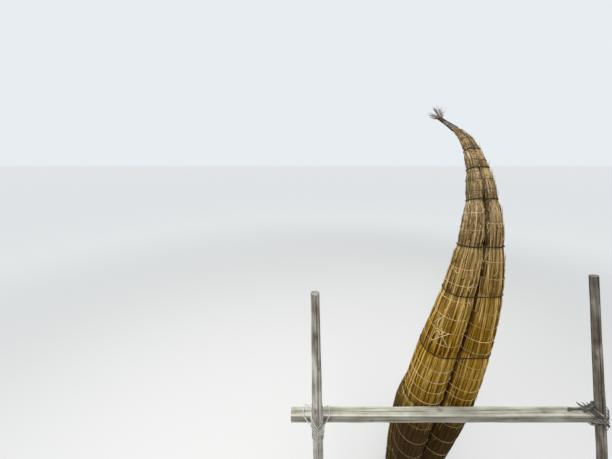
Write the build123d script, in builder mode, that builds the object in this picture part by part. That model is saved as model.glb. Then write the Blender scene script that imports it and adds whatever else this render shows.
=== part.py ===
# Reed boat stored standing on its stern, leaning on its rack.
# Frame: X points to port, Y from the hull side to the deck side, Z up, with the floor at Z = 0.
# All sizes in millimetres. "station" is the distance along the boat's spine from the stern.
from build123d import *
from math import acos, atan2, cos, degrees, hypot, pi, radians, sin, sqrt, tan
import os

# The boat's spine: a straight run, three tangent arcs that curl the bow over the deck, a straight neck.
LEAN = 7.3                      # degrees, bow end towards the rail
STRAIGHT_RUN = 2270
BOW_ARCS = [                    # radius, turn in degrees
    (2400, 13.5),
    (1130, 26.7),
    (700, 31.4),
]

# The four bundles. Two full-length mother bundles make the hull, two shorter son bundles lie on them.
BUNDLES = [                     # station, mother radius, son radius, half the width between the sons
    (-60, 98, 57, 89),
    (320, 118, 64, 91),
    (745, 136, 67, 92),
    (1050, 144, 66, 84),
    (1250, 148, 65, 46),
    (1450, 148, 62, 14),
    (1680, 142, 59, 3),
    (2000, 130, 54, 1.5),
    (2500, 98, 41, 0.8),
    (2820, 72, 30, 0.6),
    (3110, 50, 20, 0.5),
    (3320, 36, 13, 0.5),
    (3470, 27, 0, 0),
    (3600, 20, 0, 0),
    (3740, 13.5, 0, 0),
    (3780, 12, 0, 0),
    (3900, 9, 0, 0),
    (4030, 8, 0, 0),
]
SON_END = 3320                  # the last station that has a son bundle
BELT_RUN = 12                   # degrees a rope bends by from one flat run to the next
LOBE_SHARE = 0.93               # a mother's centre stands this share of its radius off the middle plane
MIDDLE_GAP = 0.3                # each mother's flat from the middle plane
SEAT_GAP = 0.8                  # a son from its mother, at every station
MOTHER_FLAT_COUNT = 36          # the reeds lie in flat strips round a bundle
SON_FLAT_COUNT = 24

# Main rope lashings round all the bundles. The second one leans on the rack's rail.
RAIL_HEIGHT = 1430              # rail's middle above the floor
RAIL_STATION = RAIL_HEIGHT / cos(radians(LEAN))
LASHING_STATIONS = [120, RAIL_STATION, 2000, 2500, 2820, 3110, 3320, 3470]
ROPE_RADIUS = 4.5
ROPE_FLAT_COUNT = 8
ROPE_GAP = 0.6                  # rope from what it ties

# The close binding on the bow's neck and the tuft of reed tips beyond it.
BINDING_STATIONS = [3780, 3900, 4030]
BINDING_WALL = 4
BINDING_GAP = 0.7
TUFT_STEMS = [                  # across tilt, deck tilt in degrees, length
    (-23, -6, 150),
    (-13, -27, 158),
    (-8, 6, 170),
    (-1, -12, 185),
    (6, -30, 140),
    (10, 3, 176),
    (18, -18, 160),
    (26, -4, 138),
]
TUFT_CORE_RADIUS = 10
TUFT_CORE_LENGTH = 26
TUFT_CORE_FLARE = 8             # degrees
TUFT_CORE_FLAT_COUNT = 8
TUFT_GAP = 0.3
STEM_ROOT_RADIUS = 6
STEM_TAPER = 1.1                # degrees
STEM_FLAT_COUNT = 4

# The rack: a squared rail tied to two round posts.
RAIL_SIDE = 74
RAIL_EDGE = 5                   # worn edge
RAIL_LEFT_REACH = 1250          # from the boat's middle plane to the rail's left end
RIGHT_POST_REACH = 1156         # from the boat's middle plane to the right post, at the rail
LEFT_POST_REACH = 1047
LEFT_POST_RADIUS = 38
RIGHT_POST_RADIUS = 29
POST_TOP = 2540
POST_FLAT_COUNT = 16            # the poles are shaved by hand
LEFT_POST_LEAN_OUT = 1.6        # degrees, top away from the boat
RIGHT_POST_LEAN_IN = 12         # degrees, top towards the boat's middle plane
RIGHT_POST_LEAN_BACK = 8        # degrees, top towards the boat
POST_TAPER = 0.0025             # loss of radius per length
RACK_GAP = 0.3                  # rail from the posts and from the boat

# Cord lashings of the rail.
CORD_RADIUS = 4
CORD_FLAT_COUNT = 6
CORD_GAP = 0.4
CORD_PITCH = 13
CORD_SLANTS = [38, -38]         # degrees, the two crossing sets of turns
CORD_TURN_COUNT = 2
CORD_REACH = 16                 # the turns stay flat this far past the end of a rail that butts
CORD_EASE = 1.06                # room for the leaning post's slanting section


def spine_plane(station):
    """Plane square to the spine at a station, its X across the boat and its Y towards the deck."""
    heading = radians(-LEAN)
    run = min(station, STRAIGHT_RUN)
    y, z = run * sin(heading), run * cos(heading)
    left = station - run
    for radius, turn in BOW_ARCS:
        swept = min(left / radius, radians(turn))
        y += radius * (cos(heading) - cos(heading + swept))
        z += radius * (sin(heading + swept) - sin(heading))
        heading += swept
        left -= radius * swept
    y += left * sin(heading)
    z += left * cos(heading)
    return Plane(origin=(0, y, z), x_dir=(1, 0, 0), z_dir=(0, sin(heading), cos(heading)))


def row_at(station):
    """The bundle sizes at a station, between two rows of the table."""
    for low, high in zip(BUNDLES, BUNDLES[1:]):
        if low[0] <= station <= high[0]:
            share = (station - low[0]) / (high[0] - low[0])
            return [a + (b - a) * share for a, b in zip(low, high)]
    raise ValueError("station off the boat")


def mother_centre(mother_radius):
    return LOBE_SHARE * mother_radius + MIDDLE_GAP


def son_centre(mother_radius, son_radius, half_width):
    """Across and deckward place of a son that rests on its mother."""
    across = half_width + son_radius
    reach = mother_radius + son_radius + SEAT_GAP
    return across, sqrt(reach**2 - (across - mother_centre(mother_radius)) ** 2)


def mother_outline(mother_radius, side):
    """Points round a mother's section, from one end of its middle flat to the other."""
    flat_angle = acos(LOBE_SHARE)
    step = (2 * pi - 2 * flat_angle) / MOTHER_FLAT_COUNT
    angles = [pi + flat_angle + step * number for number in range(MOTHER_FLAT_COUNT + 1)]
    return [
        (side * (mother_centre(mother_radius) + mother_radius * cos(angle)), mother_radius * sin(angle))
        for angle in angles
    ]


pieces = {}
SIDES = [("starboard", -1), ("port", 1)]

for side_name, side in SIDES:
    # A mother bundle: many-sided sections with one wide flat where the two press together.
    with BuildPart() as mother:
        for station, mother_radius, _, _ in BUNDLES:
            with BuildSketch(spine_plane(station)):
                with BuildLine():
                    Polyline(*mother_outline(mother_radius, side), close=True)
                make_face()
        loft(ruled=True)
        split(bisect_by=Plane.XY, keep=Keep.TOP)
    pieces[f"{side_name}_mother_bundle"] = mother.part

    # A son bundle: many-sided sections resting on its mother, apart at the stern to leave the well.
    with BuildPart() as son:
        for station, mother_radius, son_radius, half_width in BUNDLES:
            if station <= SON_END:
                across, deckward = son_centre(mother_radius, son_radius, half_width)
                with BuildSketch(spine_plane(station)):
                    with Locations((across * side, deckward)):
                        RegularPolygon(son_radius, SON_FLAT_COUNT)
        loft(ruled=True)
        split(bisect_by=Plane.XY, keep=Keep.TOP)
    pieces[f"{side_name}_son_bundle"] = son.part


def belt(circles):
    """Corners of the closed line drawn tight round circles (x, y, radius), counter-clockwise.

    It bends round each circle in short flat runs and is straight between two circles."""
    order = []
    for step in range(360):
        angle = radians(step)
        outer = max(circles, key=lambda c: c[0] * cos(angle) + c[1] * sin(angle) + c[2])
        if outer not in order[-1:]:
            order.append(outer)
    if order[0] == order[-1]:
        order.pop()
    touches = []
    for (x0, y0, r0), (x1, y1, r1) in zip(order, order[1:] + order[:1]):
        along = atan2(y1 - y0, x1 - x0)
        touches.append(along - acos((r0 - r1) / hypot(x1 - x0, y1 - y0)))
    corners = []
    for index, (x, y, r) in enumerate(order):
        start = touches[index - 1]
        bend = (touches[index] - start) % (2 * pi)
        runs = max(1, round(degrees(bend) / BELT_RUN))
        reach = r / cos(bend / runs / 2)
        for run in range(runs):
            angle = start + bend / runs * (run + 0.5)
            corners.append((x + reach * cos(angle), y + reach * sin(angle)))
    return corners


def loop(corners, plane, half_thickness, flats):
    """A rope along the closed line through the corners, with a flat of its section facing inward."""
    (x0, y0), (x1, y1) = corners[-1], corners[0]
    joint = ((x0 + x1) / 2, (y0 + y1) / 2)
    with BuildPart() as rope:
        with BuildLine(plane) as path:
            Polyline(joint, *corners, joint)
        along = path.wire() % 0
        with BuildSketch(Plane(origin=path.wire() @ 0, x_dir=along.cross(plane.z_dir), z_dir=along)):
            RegularPolygon(half_thickness, flats, major_radius=False, rotation=180 / flats)
        sweep(path=path.wire(), transition=Transition.RIGHT)
    return rope.part


def bundle_circles(station, standoff):
    """The circles of the bundles at a station, grown by a standoff, counter-clockwise."""
    _, mother_radius, son_radius, half_width = row_at(station)
    middle = mother_centre(mother_radius)
    circles = [(-middle, 0, mother_radius + standoff), (middle, 0, mother_radius + standoff)]
    if station <= SON_END:
        across, deckward = son_centre(mother_radius, son_radius, half_width)
        circles += [(across, deckward, son_radius + standoff), (-across, deckward, son_radius + standoff)]
    return circles


# The main rope lashings.
for number, station in enumerate(LASHING_STATIONS, 1):
    corners = belt(bundle_circles(station, ROPE_RADIUS + ROPE_GAP))
    pieces[f"hull_lashing_{number}"] = loop(corners, spine_plane(station), ROPE_RADIUS, ROPE_FLAT_COUNT)


# The binding on the neck: a close winding of cord round both mothers.
with BuildPart() as binding:
    for standoff, mode in [(BINDING_GAP + BINDING_WALL, Mode.ADD), (BINDING_GAP, Mode.SUBTRACT)]:
        for station in BINDING_STATIONS:
            with BuildSketch(spine_plane(station)):
                with BuildLine():
                    Polyline(*belt(bundle_circles(station, standoff)), close=True)
                make_face()
        loft(ruled=True, mode=mode)
pieces["bow_binding"] = binding.part

# The tuft: a short core inside the end of the binding, with tapered stems fanning out of it.
tip = spine_plane(BUNDLES[-1][0])
with BuildPart() as tuft:
    with BuildSketch(tip.offset(TUFT_GAP)):
        RegularPolygon(TUFT_CORE_RADIUS, TUFT_CORE_FLAT_COUNT)
    extrude(amount=TUFT_CORE_LENGTH, taper=-TUFT_CORE_FLARE)
    stem_root = tip.offset(TUFT_GAP + TUFT_CORE_LENGTH / 2)
    for across_tilt, deck_tilt, length in TUFT_STEMS:
        with BuildSketch(stem_root.rotated((-deck_tilt, across_tilt, 0))):
            RegularPolygon(STEM_ROOT_RADIUS, STEM_FLAT_COUNT)
        extrude(amount=length, taper=STEM_TAPER)
pieces["bow_tuft"] = tuft.part

# The rack's places: the rope on the hull leans on the rail, the left post stands before the rail.
rope_centre = -(row_at(RAIL_STATION)[1] + ROPE_GAP + ROPE_RADIUS)
leaning_rope = spine_plane(RAIL_STATION).from_local_coords((0, rope_centre, 0))
rail_y = leaning_rope.Y - ROPE_RADIUS / cos(pi / ROPE_FLAT_COUNT) - RACK_GAP - RAIL_SIDE / 2
left_post_y = rail_y - RAIL_SIDE / 2 - RACK_GAP - LEFT_POST_RADIUS
POSTS = [                       # name, axis at the rail's height, radius there, direction
    ("left", (-LEFT_POST_REACH, left_post_y), LEFT_POST_RADIUS, (-tan(radians(LEFT_POST_LEAN_OUT)), 0, 1)),
    (
        "right",
        (RIGHT_POST_REACH, rail_y),
        RIGHT_POST_RADIUS,
        (-tan(radians(RIGHT_POST_LEAN_IN)), tan(radians(RIGHT_POST_LEAN_BACK)), 1),
    ),
]
for name, (x, y), radius, direction in POSTS:
    axis = Plane(origin=(x, y, RAIL_HEIGHT), x_dir=(1, 0, -direction[0]), z_dir=direction)
    stretch = Vector(direction).length
    below, above = -(RAIL_HEIGHT + radius) * stretch, (POST_TOP - RAIL_HEIGHT) * stretch
    with BuildPart() as post:
        for height in (below, above):
            with BuildSketch(axis.offset(height)):
                RegularPolygon(radius - height * POST_TAPER, POST_FLAT_COUNT)
        loft(ruled=True)
        split(bisect_by=Plane.XY, keep=Keep.TOP)
    pieces[f"rack_{name}_post"] = post.part

# The rail, cut to the slant of the right post that it butts against.
slant = radians(RIGHT_POST_LEAN_IN)
butt = Plane(origin=(RIGHT_POST_REACH, rail_y, RAIL_HEIGHT), z_dir=(cos(slant), 0, sin(slant)))
with BuildPart() as rail:
    with BuildSketch(Plane.YZ.offset(-RAIL_LEFT_REACH)):
        with Locations((rail_y, RAIL_HEIGHT)):
            RectangleRounded(RAIL_SIDE, RAIL_SIDE, RAIL_EDGE)
    extrude(amount=RAIL_LEFT_REACH + RIGHT_POST_REACH)
    split(bisect_by=butt.offset(-RIGHT_POST_RADIUS - RACK_GAP), keep=Keep.BOTTOM)
pieces["rack_rail"] = rail.part

# The cord lashings: slanting turns round rail and post, the second set crossing over the first.
for name, (post_x, post_y), post_radius, direction in POSTS:
    rail_passes = name == "left"
    joint_x = post_x if rail_passes else post_x - post_radius
    post_offset = Vector(post_x - joint_x, post_y - rail_y, 0)
    with BuildPart() as cord:
        for layer, slant in enumerate(CORD_SLANTS):
            standoff = CORD_RADIUS + CORD_GAP + layer * (2 * CORD_RADIUS + CORD_GAP)
            slope = radians(slant)
            base = Plane(
                origin=(joint_x, rail_y, RAIL_HEIGHT),
                x_dir=(cos(slope), 0, sin(slope)),
                z_dir=(-sin(slope), 0, cos(slope)),
            )
            post_axis = Vector(direction).normalized()
            facing = post_axis.dot(base.z_dir)
            wide, deep = (post_radius + standoff) / facing, post_radius + standoff
            grip = wide**2 / deep if rail_passes else deep * CORD_EASE
            pull = grip - deep if rail_passes else 0
            nose = deep**2 / wide
            for turn in range(CORD_TURN_COUNT):
                shift = (turn - (CORD_TURN_COUNT - 1) / 2) * CORD_PITCH
                met = post_offset + post_axis * ((shift - post_offset.dot(base.z_dir)) / facing)
                rail_middle = -shift / tan(slope)
                rail_half = (RAIL_SIDE / 2 + standoff) / abs(sin(slope)) - RAIL_EDGE - standoff
                rail_last = rail_middle + rail_half if rail_passes else shift * tan(slope) + CORD_REACH
                circles = [(met.dot(base.x_dir), met.Y + pull, grip)]
                if not rail_passes:
                    circles.append((met.dot(base.x_dir) + wide - nose, met.Y, nose * CORD_EASE))
                circles += [
                    (end, face * (RAIL_SIDE / 2 - RAIL_EDGE), RAIL_EDGE + standoff)
                    for end in (rail_middle - rail_half, rail_last)
                    for face in (-1, 1)
                ]
                add(loop(belt(circles), base.offset(shift), CORD_RADIUS, CORD_FLAT_COUNT))
    pieces[f"{name}_rail_lashing"] = cord.part

# Every piece moves so that the origin is the middle of the whole on the floor.
boxes = [piece.bounding_box() for piece in pieces.values()]
middle_x = (min(box.min.X for box in boxes) + max(box.max.X for box in boxes)) / 2
middle_y = (min(box.min.Y for box in boxes) + max(box.max.Y for box in boxes)) / 2
os.makedirs("parts", exist_ok=True)
for name, piece in pieces.items():
    placed = piece.moved(Location((-middle_x, -middle_y, 0)))
    placed.label = name
    export_step(placed, f"parts/{name}.step")
print(f"Stern middle X {-middle_x:.2f}, Y {-middle_y:.2f}; rail middle Y {rail_y - middle_y:.2f}")
print(f"Left post middle Y {left_post_y - middle_y:.2f}")
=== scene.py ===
# %% [markdown]
# # A reed boat on its storage rack
#
# The boat is four bundles of dry reeds: two long ones press together as the hull, and two short ones lie
# on the deck side and leave a well at the stern. Dark rope ties all four together, and pale twine holds
# each bundle by itself. It stands on its stern and leans on a rail between two posts.
#
# A frame of plain solids gives every size. This lesson dresses it: each bundle becomes real reeds laid
# side by side, each rope becomes twisted strands, and the timber gets splits, knots and end grain.

# %% Open the frame
import math
import bpy
import numpy as np
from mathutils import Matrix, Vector, geometry


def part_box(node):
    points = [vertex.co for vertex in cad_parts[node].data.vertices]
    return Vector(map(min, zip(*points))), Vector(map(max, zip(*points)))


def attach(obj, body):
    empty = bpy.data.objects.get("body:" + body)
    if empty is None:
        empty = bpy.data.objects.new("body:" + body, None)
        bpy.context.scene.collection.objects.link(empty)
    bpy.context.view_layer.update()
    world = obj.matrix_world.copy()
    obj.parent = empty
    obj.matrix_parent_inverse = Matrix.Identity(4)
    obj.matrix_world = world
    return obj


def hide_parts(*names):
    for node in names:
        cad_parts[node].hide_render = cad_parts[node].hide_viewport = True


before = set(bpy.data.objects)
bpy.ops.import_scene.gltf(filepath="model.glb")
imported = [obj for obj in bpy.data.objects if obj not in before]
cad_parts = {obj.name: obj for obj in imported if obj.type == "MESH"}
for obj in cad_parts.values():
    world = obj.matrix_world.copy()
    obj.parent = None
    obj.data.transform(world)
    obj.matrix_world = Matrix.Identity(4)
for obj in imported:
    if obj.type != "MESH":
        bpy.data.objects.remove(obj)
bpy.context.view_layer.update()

# %% [markdown]
# ## The camera
#
# The photograph was taken with a very wide lens from about 3.3 m up, tilted a little down, so upright
# things lean outwards at the top. A camera is an object with a lens in millimetres, and it looks along
# its own -Z. Turning it up by 90 degrees less the tilt makes it look along +Y and a little down, and with
# no turn about Z the sea's line stays level.

# %% Place the camera
BOAT_MIDDLE = Vector((-0.1217, 0.00766, 0.0))  # the boat's spine at its stern
CAMERA_FROM_BOAT = Vector((-1.134, -1.713, 3.3))
CAMERA_TILT = 15.66  # degrees down
LENS = 13.53
SENSOR_WIDTH = 36.0
SEES_AS_FAR_AS = 2000.0  # metres, past the floor's far edge

camera_data = bpy.data.cameras.new("photo_camera")
camera_data.lens = LENS
camera_data.sensor_width = SENSOR_WIDTH
camera_data.clip_end = SEES_AS_FAR_AS
camera = bpy.data.objects.new("photo_camera", camera_data)
camera.location = BOAT_MIDDLE + CAMERA_FROM_BOAT
camera.rotation_euler = (math.radians(90 - CAMERA_TILT), 0.0, 0.0)
bpy.context.collection.objects.link(camera)
bpy.context.scene.camera = camera
print("camera at", [round(c, 3) for c in camera.location])

# %% [markdown]
# ## The boat's spine
#
# Every reed and rope is placed by two numbers: how far along the boat it is, and where round a bundle. So
# the first helper turns a station, in metres along the spine from the stern, into a point and three
# directions. The spine is a straight run, three arcs that curl the bow over the deck, and a straight
# neck. Its heading is a simple sum, one clipped ramp per arc, and adding up small steps along the heading
# gives the points.

# %% Make the spine
LEAN = 7.3  # degrees, bow end towards the rail
STRAIGHT_RUN = 2.270
BOW_ARCS = [  # radius in metres, turn in degrees
    (2.400, 13.5),
    (1.130, 26.7),
    (0.700, 31.4),
]
BOW_END = 4.03
SPINE_STEP = 0.001

spine_s = np.arange(-0.10, 4.35, SPINE_STEP)
spine_heading = np.full_like(spine_s, -math.radians(LEAN))
arc_start = STRAIGHT_RUN
for arc_radius, arc_turn in BOW_ARCS:
    spine_heading += np.clip((spine_s - arc_start) / arc_radius, 0.0, math.radians(arc_turn))
    arc_start += arc_radius * math.radians(arc_turn)
spine_y = np.cumsum(np.sin(spine_heading)) * SPINE_STEP
spine_z = np.cumsum(np.cos(spine_heading)) * SPINE_STEP
spine_y -= np.interp(0.0, spine_s, spine_y)
spine_z -= np.interp(0.0, spine_s, spine_z)


def spine_frame(stations):
    """Points on the spine, its direction there, and the direction towards the deck."""
    heading = np.interp(stations, spine_s, spine_heading)
    zero = np.zeros_like(heading)
    y = BOAT_MIDDLE.y + np.interp(stations, spine_s, spine_y)
    z = np.interp(stations, spine_s, spine_z)
    points = np.stack([zero + BOAT_MIDDLE.x, y, z], axis=-1)
    forward = np.stack([zero, np.sin(heading), np.cos(heading)], axis=-1)
    deckward = np.stack([zero, np.cos(heading), -np.sin(heading)], axis=-1)
    return points, forward, deckward


end_points, _, _ = spine_frame(np.array([0.0, BOW_END]))
print("spine from", end_points[0].round(3), "to", end_points[1].round(3))

# %% [markdown]
# ## The bundles' sizes
#
# A maker builds a bundle by eye: thin at the stern, fattest near a third of its length, then a long taper
# to the bow. A short table holds those sizes, and a running average rounds off its corners. Twine bites
# into the reeds, so each bundle also gets a small waist wherever something is tied round it, written as a
# sum of narrow bell curves.

# %% Give the bundles their sizes
BUNDLE_TABLE = np.array([  # station, hull radius, deck radius, half the width between the deck bundles
    (-0.100, 0.096, 0.056, 0.089),
    (0.320, 0.118, 0.064, 0.091),
    (0.745, 0.136, 0.067, 0.092),
    (1.050, 0.144, 0.066, 0.084),
    (1.250, 0.148, 0.065, 0.046),
    (1.450, 0.148, 0.062, 0.014),
    (1.680, 0.142, 0.059, 0.003),
    (2.000, 0.130, 0.054, 0.0015),
    (2.500, 0.098, 0.041, 0.0008),
    (2.820, 0.072, 0.030, 0.0006),
    (3.110, 0.050, 0.020, 0.0005),
    (3.320, 0.036, 0.013, 0.0005),
    (3.470, 0.027, 0.009, 0.0005),
    (3.600, 0.020, 0.007, 0.0005),
    (3.740, 0.0125, 0.005, 0.0005),
    (3.780, 0.0105, 0.004, 0.0005),
    (3.900, 0.0075, 0.004, 0.0005),
    (4.030, 0.0062, 0.004, 0.0005),
    (4.200, 0.0062, 0.004, 0.0005),
])
ROUNDING_WINDOW = 90  # spine steps


def rounded_column(column):
    """A column of the table at every spine step, with its corners rounded off."""
    values = np.interp(spine_s, BUNDLE_TABLE[:, 0], BUNDLE_TABLE[:, column])
    pad = ROUNDING_WINDOW // 2
    window = np.ones(2 * pad + 1) / (2 * pad + 1)
    return np.convolve(np.pad(values, pad, mode="edge"), window, mode="valid")


def waist(stations, ties):
    """How far the ties (station, bite, reach) pull the reeds in at each station."""
    pulled = np.zeros_like(stations)
    for place, bite, reach in ties:
        pulled += bite * np.exp(-(((stations - place) / reach) ** 2))
    return pulled


hull_radius, deck_radius, deck_half_width = [rounded_column(column) for column in (1, 2, 3)]
print("hull bundle is widest at", round(spine_s[np.argmax(hull_radius)], 2), "m")

# %% [markdown]
# ## Where a bundle lies
#
# Seen along the boat, the two hull bundles are circles that press flat on the boat's middle, and each
# deck bundle is a circle that touches its hull bundle. The touching gives the deck bundle's place by
# Pythagoras. One function gives the centre of any bundle, so reeds, twine and ropes all agree.

# %% Place the bundles
SIDES = {"starboard": -1.0, "port": 1.0}
LOBE_SHARE = 0.93  # a hull bundle's centre is this share of its radius off the boat's middle
PRESS_GAP = 0.0003
SEAT_GAP = 0.0008


def bundle_axis(kind, side, stations):
    """Centre line, radius, direction across and direction deckward of a bundle."""
    points, _, deckward = spine_frame(stations)
    across = np.zeros_like(points)
    across[..., 0] = side
    mother = np.interp(stations, spine_s, hull_radius)
    if kind == "hull":
        return points + across * (LOBE_SHARE * mother + PRESS_GAP)[..., None], mother, across, deckward
    son = np.interp(stations, spine_s, deck_radius)
    outward = np.interp(stations, spine_s, deck_half_width) + son
    reach = mother + son + SEAT_GAP
    up = np.sqrt(reach**2 - (outward - LOBE_SHARE * mother) ** 2)
    return points + across * outward[..., None] + deckward * up[..., None], son, across, deckward


for kind in ("hull", "deck"):
    centre, radius, _, _ = bundle_axis(kind, SIDES["port"], np.array([0.745]))
    print(kind, "bundle at 0.745 m: centre", centre[0].round(3), "radius", radius[0].round(3))

# %% [markdown]
# ## From points to an object
#
# Reeds, ropes and timbers all end as a mesh: a list of points and a list of faces that name their corners
# by number. Points that lie in rows and columns give their faces by a simple rule. One more function
# makes the object, shades it smooth, and stores numbers such as a point's place along its reed as
# attributes, which a material can read. Nothing may go below the ground, so low points are lifted to it.

# %% Write the mesh helpers
def grid_faces(rows, columns, first=0):
    """Four-cornered faces over points in rows and columns, numbered from first."""
    corner = first + np.arange(rows - 1)[:, None] * columns + np.arange(columns - 1)[None]
    quads = np.stack([corner, corner + 1, corner + columns + 1, corner + columns], axis=-1)
    return quads.reshape(-1, 4)


def mesh_piece(name, blocks, faces, fields, material):
    """A smooth mesh object from blocks of points, with its fields and its material, hung under the root
    body.
    """
    points = np.concatenate(blocks)
    points[:, 2] = np.maximum(points[:, 2], 0.0)
    mesh = bpy.data.meshes.new(name)
    mesh.from_pydata(points.tolist(), [], faces)
    for field, values in fields.items():
        data = mesh.attributes.new(field, "FLOAT", "POINT")
        data.data.foreach_set("value", np.concatenate(values).astype(np.float32))
    mesh.shade_smooth()
    mesh.materials.append(material)
    made = bpy.data.objects.new(name, mesh)
    bpy.context.collection.objects.link(made)
    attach(made, "root")
    print(name, "has", sum(len(face) - 2 for face in faces), "triangles")
    return made


print("3 rows of 5 points make", len(grid_faces(3, 5)), "faces")

# %% [markdown]
# ## Directions on a line
#
# A tube round a line needs two directions square to it at every point. The line's own direction comes
# from its neighbouring points. A wished direction, such as away from the bundle, becomes square to it
# once the part that runs along the line is taken off. Any direction between two others is their mix by
# cosine and sine.

# %% Write the direction helpers
def unit(ways):
    """The same directions with a length of 1."""
    return ways / np.linalg.norm(ways, axis=-1)[..., None]


def line_ways(line, closed):
    """The direction of a line at each of its points."""
    if closed:
        return unit(np.roll(line, -1, axis=0) - np.roll(line, 1, axis=0))
    return unit(np.gradient(line, axis=0))


def square_to(forward, way):
    """The wished direction, turned square to the line at each point."""
    way = np.broadcast_to(way, forward.shape)
    return unit(way - forward * np.sum(way * forward, axis=1)[:, None])


def turned(first, second, angle):
    """Directions that lie an angle from the first towards the second."""
    return first * np.cos(angle)[:, None] + second * np.sin(angle)[:, None]


def lengths_along(line):
    """How far each point of a line lies from its start."""
    steps = np.linalg.norm(np.diff(line, axis=0), axis=1)
    return np.concatenate([[0.0], np.cumsum(steps)])


print("length along a bent line", lengths_along(np.array([(0.0, 0.0), (3.0, 4.0), (3.0, 5.0)])))

# %% [markdown]
# ## A helper for round strands
#
# Reeds, twine, rope strands and bow tips are all thin round things that follow a line. Curve objects
# could do this, but thousands of them are slow and carry no numbers for the material to read. So one
# class sweeps a small ring along many lines and joins them into one mesh. It also stores, on every point,
# how far along its strand it is, where round it, a tone for the whole strand and the station on the boat.

# %% Write the strand helper
class Strands:
    """Collects swept strands and joins them into one mesh object."""

    def __init__(self, name):
        self.name = name
        self.points = []
        self.faces = []
        self.count = 0
        self.fields = {"along": [], "around": [], "tone": [], "station": []}

    def sweep(self, line, thickness, outward, tone=0.5, station=None, sides=6, closed=False):
        """A strand along a line of points, its seam on the side away from outward."""
        line = np.asarray(line, dtype=float)
        forward = line_ways(line, closed)
        outward = square_to(forward, outward)
        sideways = np.cross(forward, outward)
        turn = (np.pi + np.linspace(0.0, 2 * np.pi, sides + 1))[None, :, None]
        ring = outward[:, None] * np.cos(turn) + sideways[:, None] * np.sin(turn)
        body = line[:, None] + ring * np.broadcast_to(thickness, len(line))[:, None, None]
        along = lengths_along(line)
        if closed:
            body = np.concatenate([body, body[:1]])
            along = np.append(along, along[-1] + np.linalg.norm(line[0] - line[-1]))
        self.add_grid(body, along, tone, along * 0 if station is None else station)
        if not closed:
            self.close_ends(*body.shape[:2])
        self.count += body.shape[0] * body.shape[1]

    def add_grid(self, body, along, tone, station):
        """The strand's points, their numbers and the faces between them."""
        rows, columns = body.shape[:2]
        self.points.append(body.reshape(-1, 3))
        self.fields["along"].append(np.repeat(along, columns))
        self.fields["around"].append(np.tile(np.linspace(0.0, 1.0, columns), rows))
        self.fields["tone"].append(np.full(rows * columns, tone))
        self.fields["station"].append(np.repeat(np.resize(station, rows), columns))
        self.faces += grid_faces(rows, columns, self.count).tolist()

    def close_ends(self, rows, columns):
        """A face over each end of the strand."""
        last_row = self.count + (rows - 1) * columns
        self.faces.append([self.count + c for c in range(columns - 1)][::-1])
        self.faces.append([last_row + c for c in range(columns - 1)])

    def finish(self, material, slot):
        """All the strands as one piece."""
        return mesh_piece(self.name, self.points, self.faces, self.fields, material)


trial = Strands("trial")
trial.sweep([(0, 0, 0), (0, 0, 1), (0, 0, 2)], 0.1, (1.0, 0.0, 0.0))
print("a strand through 3 points has", trial.count, "points and", len(trial.faces), "faces")

# %% [markdown]
# ## A helper for materials
#
# A material here is a small graph of nodes that feeds one shader. Writing each link by hand is long, so
# this helper adds a node and takes either a value or another node's output for each of its inputs.

# %% Write the material helper
class Finish:
    """A node material that is built line by line."""

    def __init__(self, name, roughness, specular):
        self.material = bpy.data.materials.new(name)
        self.material.use_nodes = True
        self.tree = self.material.node_tree
        self.shader = self.tree.nodes["Principled BSDF"]
        self.shader.inputs["Roughness"].default_value = roughness
        self.shader.inputs["Specular IOR Level"].default_value = specular

    def put(self, socket, value):
        """A link where the value is a node's output, and otherwise the value itself."""
        if isinstance(value, bpy.types.NodeSocket):
            self.tree.links.new(value, socket)
        else:
            socket.default_value = value

    def node(self, kind, *values, **settings):
        """A node with its inputs in order; None leaves an input as it is."""
        made = self.tree.nodes.new("ShaderNode" + kind)
        for name, value in settings.items():
            setattr(made, name, value)
        for socket, value in zip(made.inputs, values):
            if value is not None:
                self.put(socket, value)
        return made

    def field(self, name):
        """A number that the mesh stores on its points."""
        return self.node("Attribute", attribute_name=name).outputs["Fac"]

    def math(self, operation, *values):
        """A Math node's result."""
        return self.node("Math", *values, operation=operation).outputs[0]

    def times(self, value, factor):
        """One number times another."""
        return self.math("MULTIPLY", value, factor)

    def plus(self, first, second):
        """One number plus another."""
        return self.math("ADD", first, second)

    def noise(self, x, y, z=0.0, detail=2.0):
        """Noise between about 0.3 and 0.7 at a place made of three numbers."""
        place = self.node("CombineXYZ", x, y, z).outputs[0]
        return self.node("TexNoise", place, None, 1.0, detail).outputs["Fac"]

    def spread(self, value, low, high, new_low=0.0, new_high=1.0):
        """The value stretched from low..high to new_low..new_high, and clipped."""
        return self.node("MapRange", value, low, high, new_low, new_high).outputs[0]

    def ramp(self, value, stops):
        """A colour for a value, from stops of (place, colour)."""
        made = self.node("ValToRGB", value)
        elements = made.color_ramp.elements
        while len(elements) < len(stops):
            elements.new(0.5)
        for element, (place, colour) in zip(elements, stops):
            element.position = place
            element.color = (*colour, 1.0)
        return made.outputs["Color"]

    def mix(self, share, first, second):
        """Two colours mixed by a share."""
        made = self.tree.nodes.new("ShaderNodeMix")
        made.data_type = "RGBA"
        self.put(made.inputs["Factor"], share)
        for socket, colour in zip([s for s in made.inputs if s.type == "RGBA"], (first, second)):
            self.put(socket, colour if isinstance(colour, bpy.types.NodeSocket) else (*colour, 1.0))
        return [s for s in made.outputs if s.type == "RGBA"][0]

    def bump(self, height, distance):
        """Fine relief in the shading alone."""
        made = self.tree.nodes.new("ShaderNodeBump")
        made.inputs["Distance"].default_value = distance
        self.put(made.inputs["Height"], height)
        self.put(self.shader.inputs["Normal"], made.outputs["Normal"])

    def colour(self, value):
        """The finished material, with this as its colour."""
        self.put(self.shader.inputs["Base Color"], value)
        return self.material


print("a finish can use:", [name for name in vars(Finish) if not name.startswith("_")])
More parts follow.
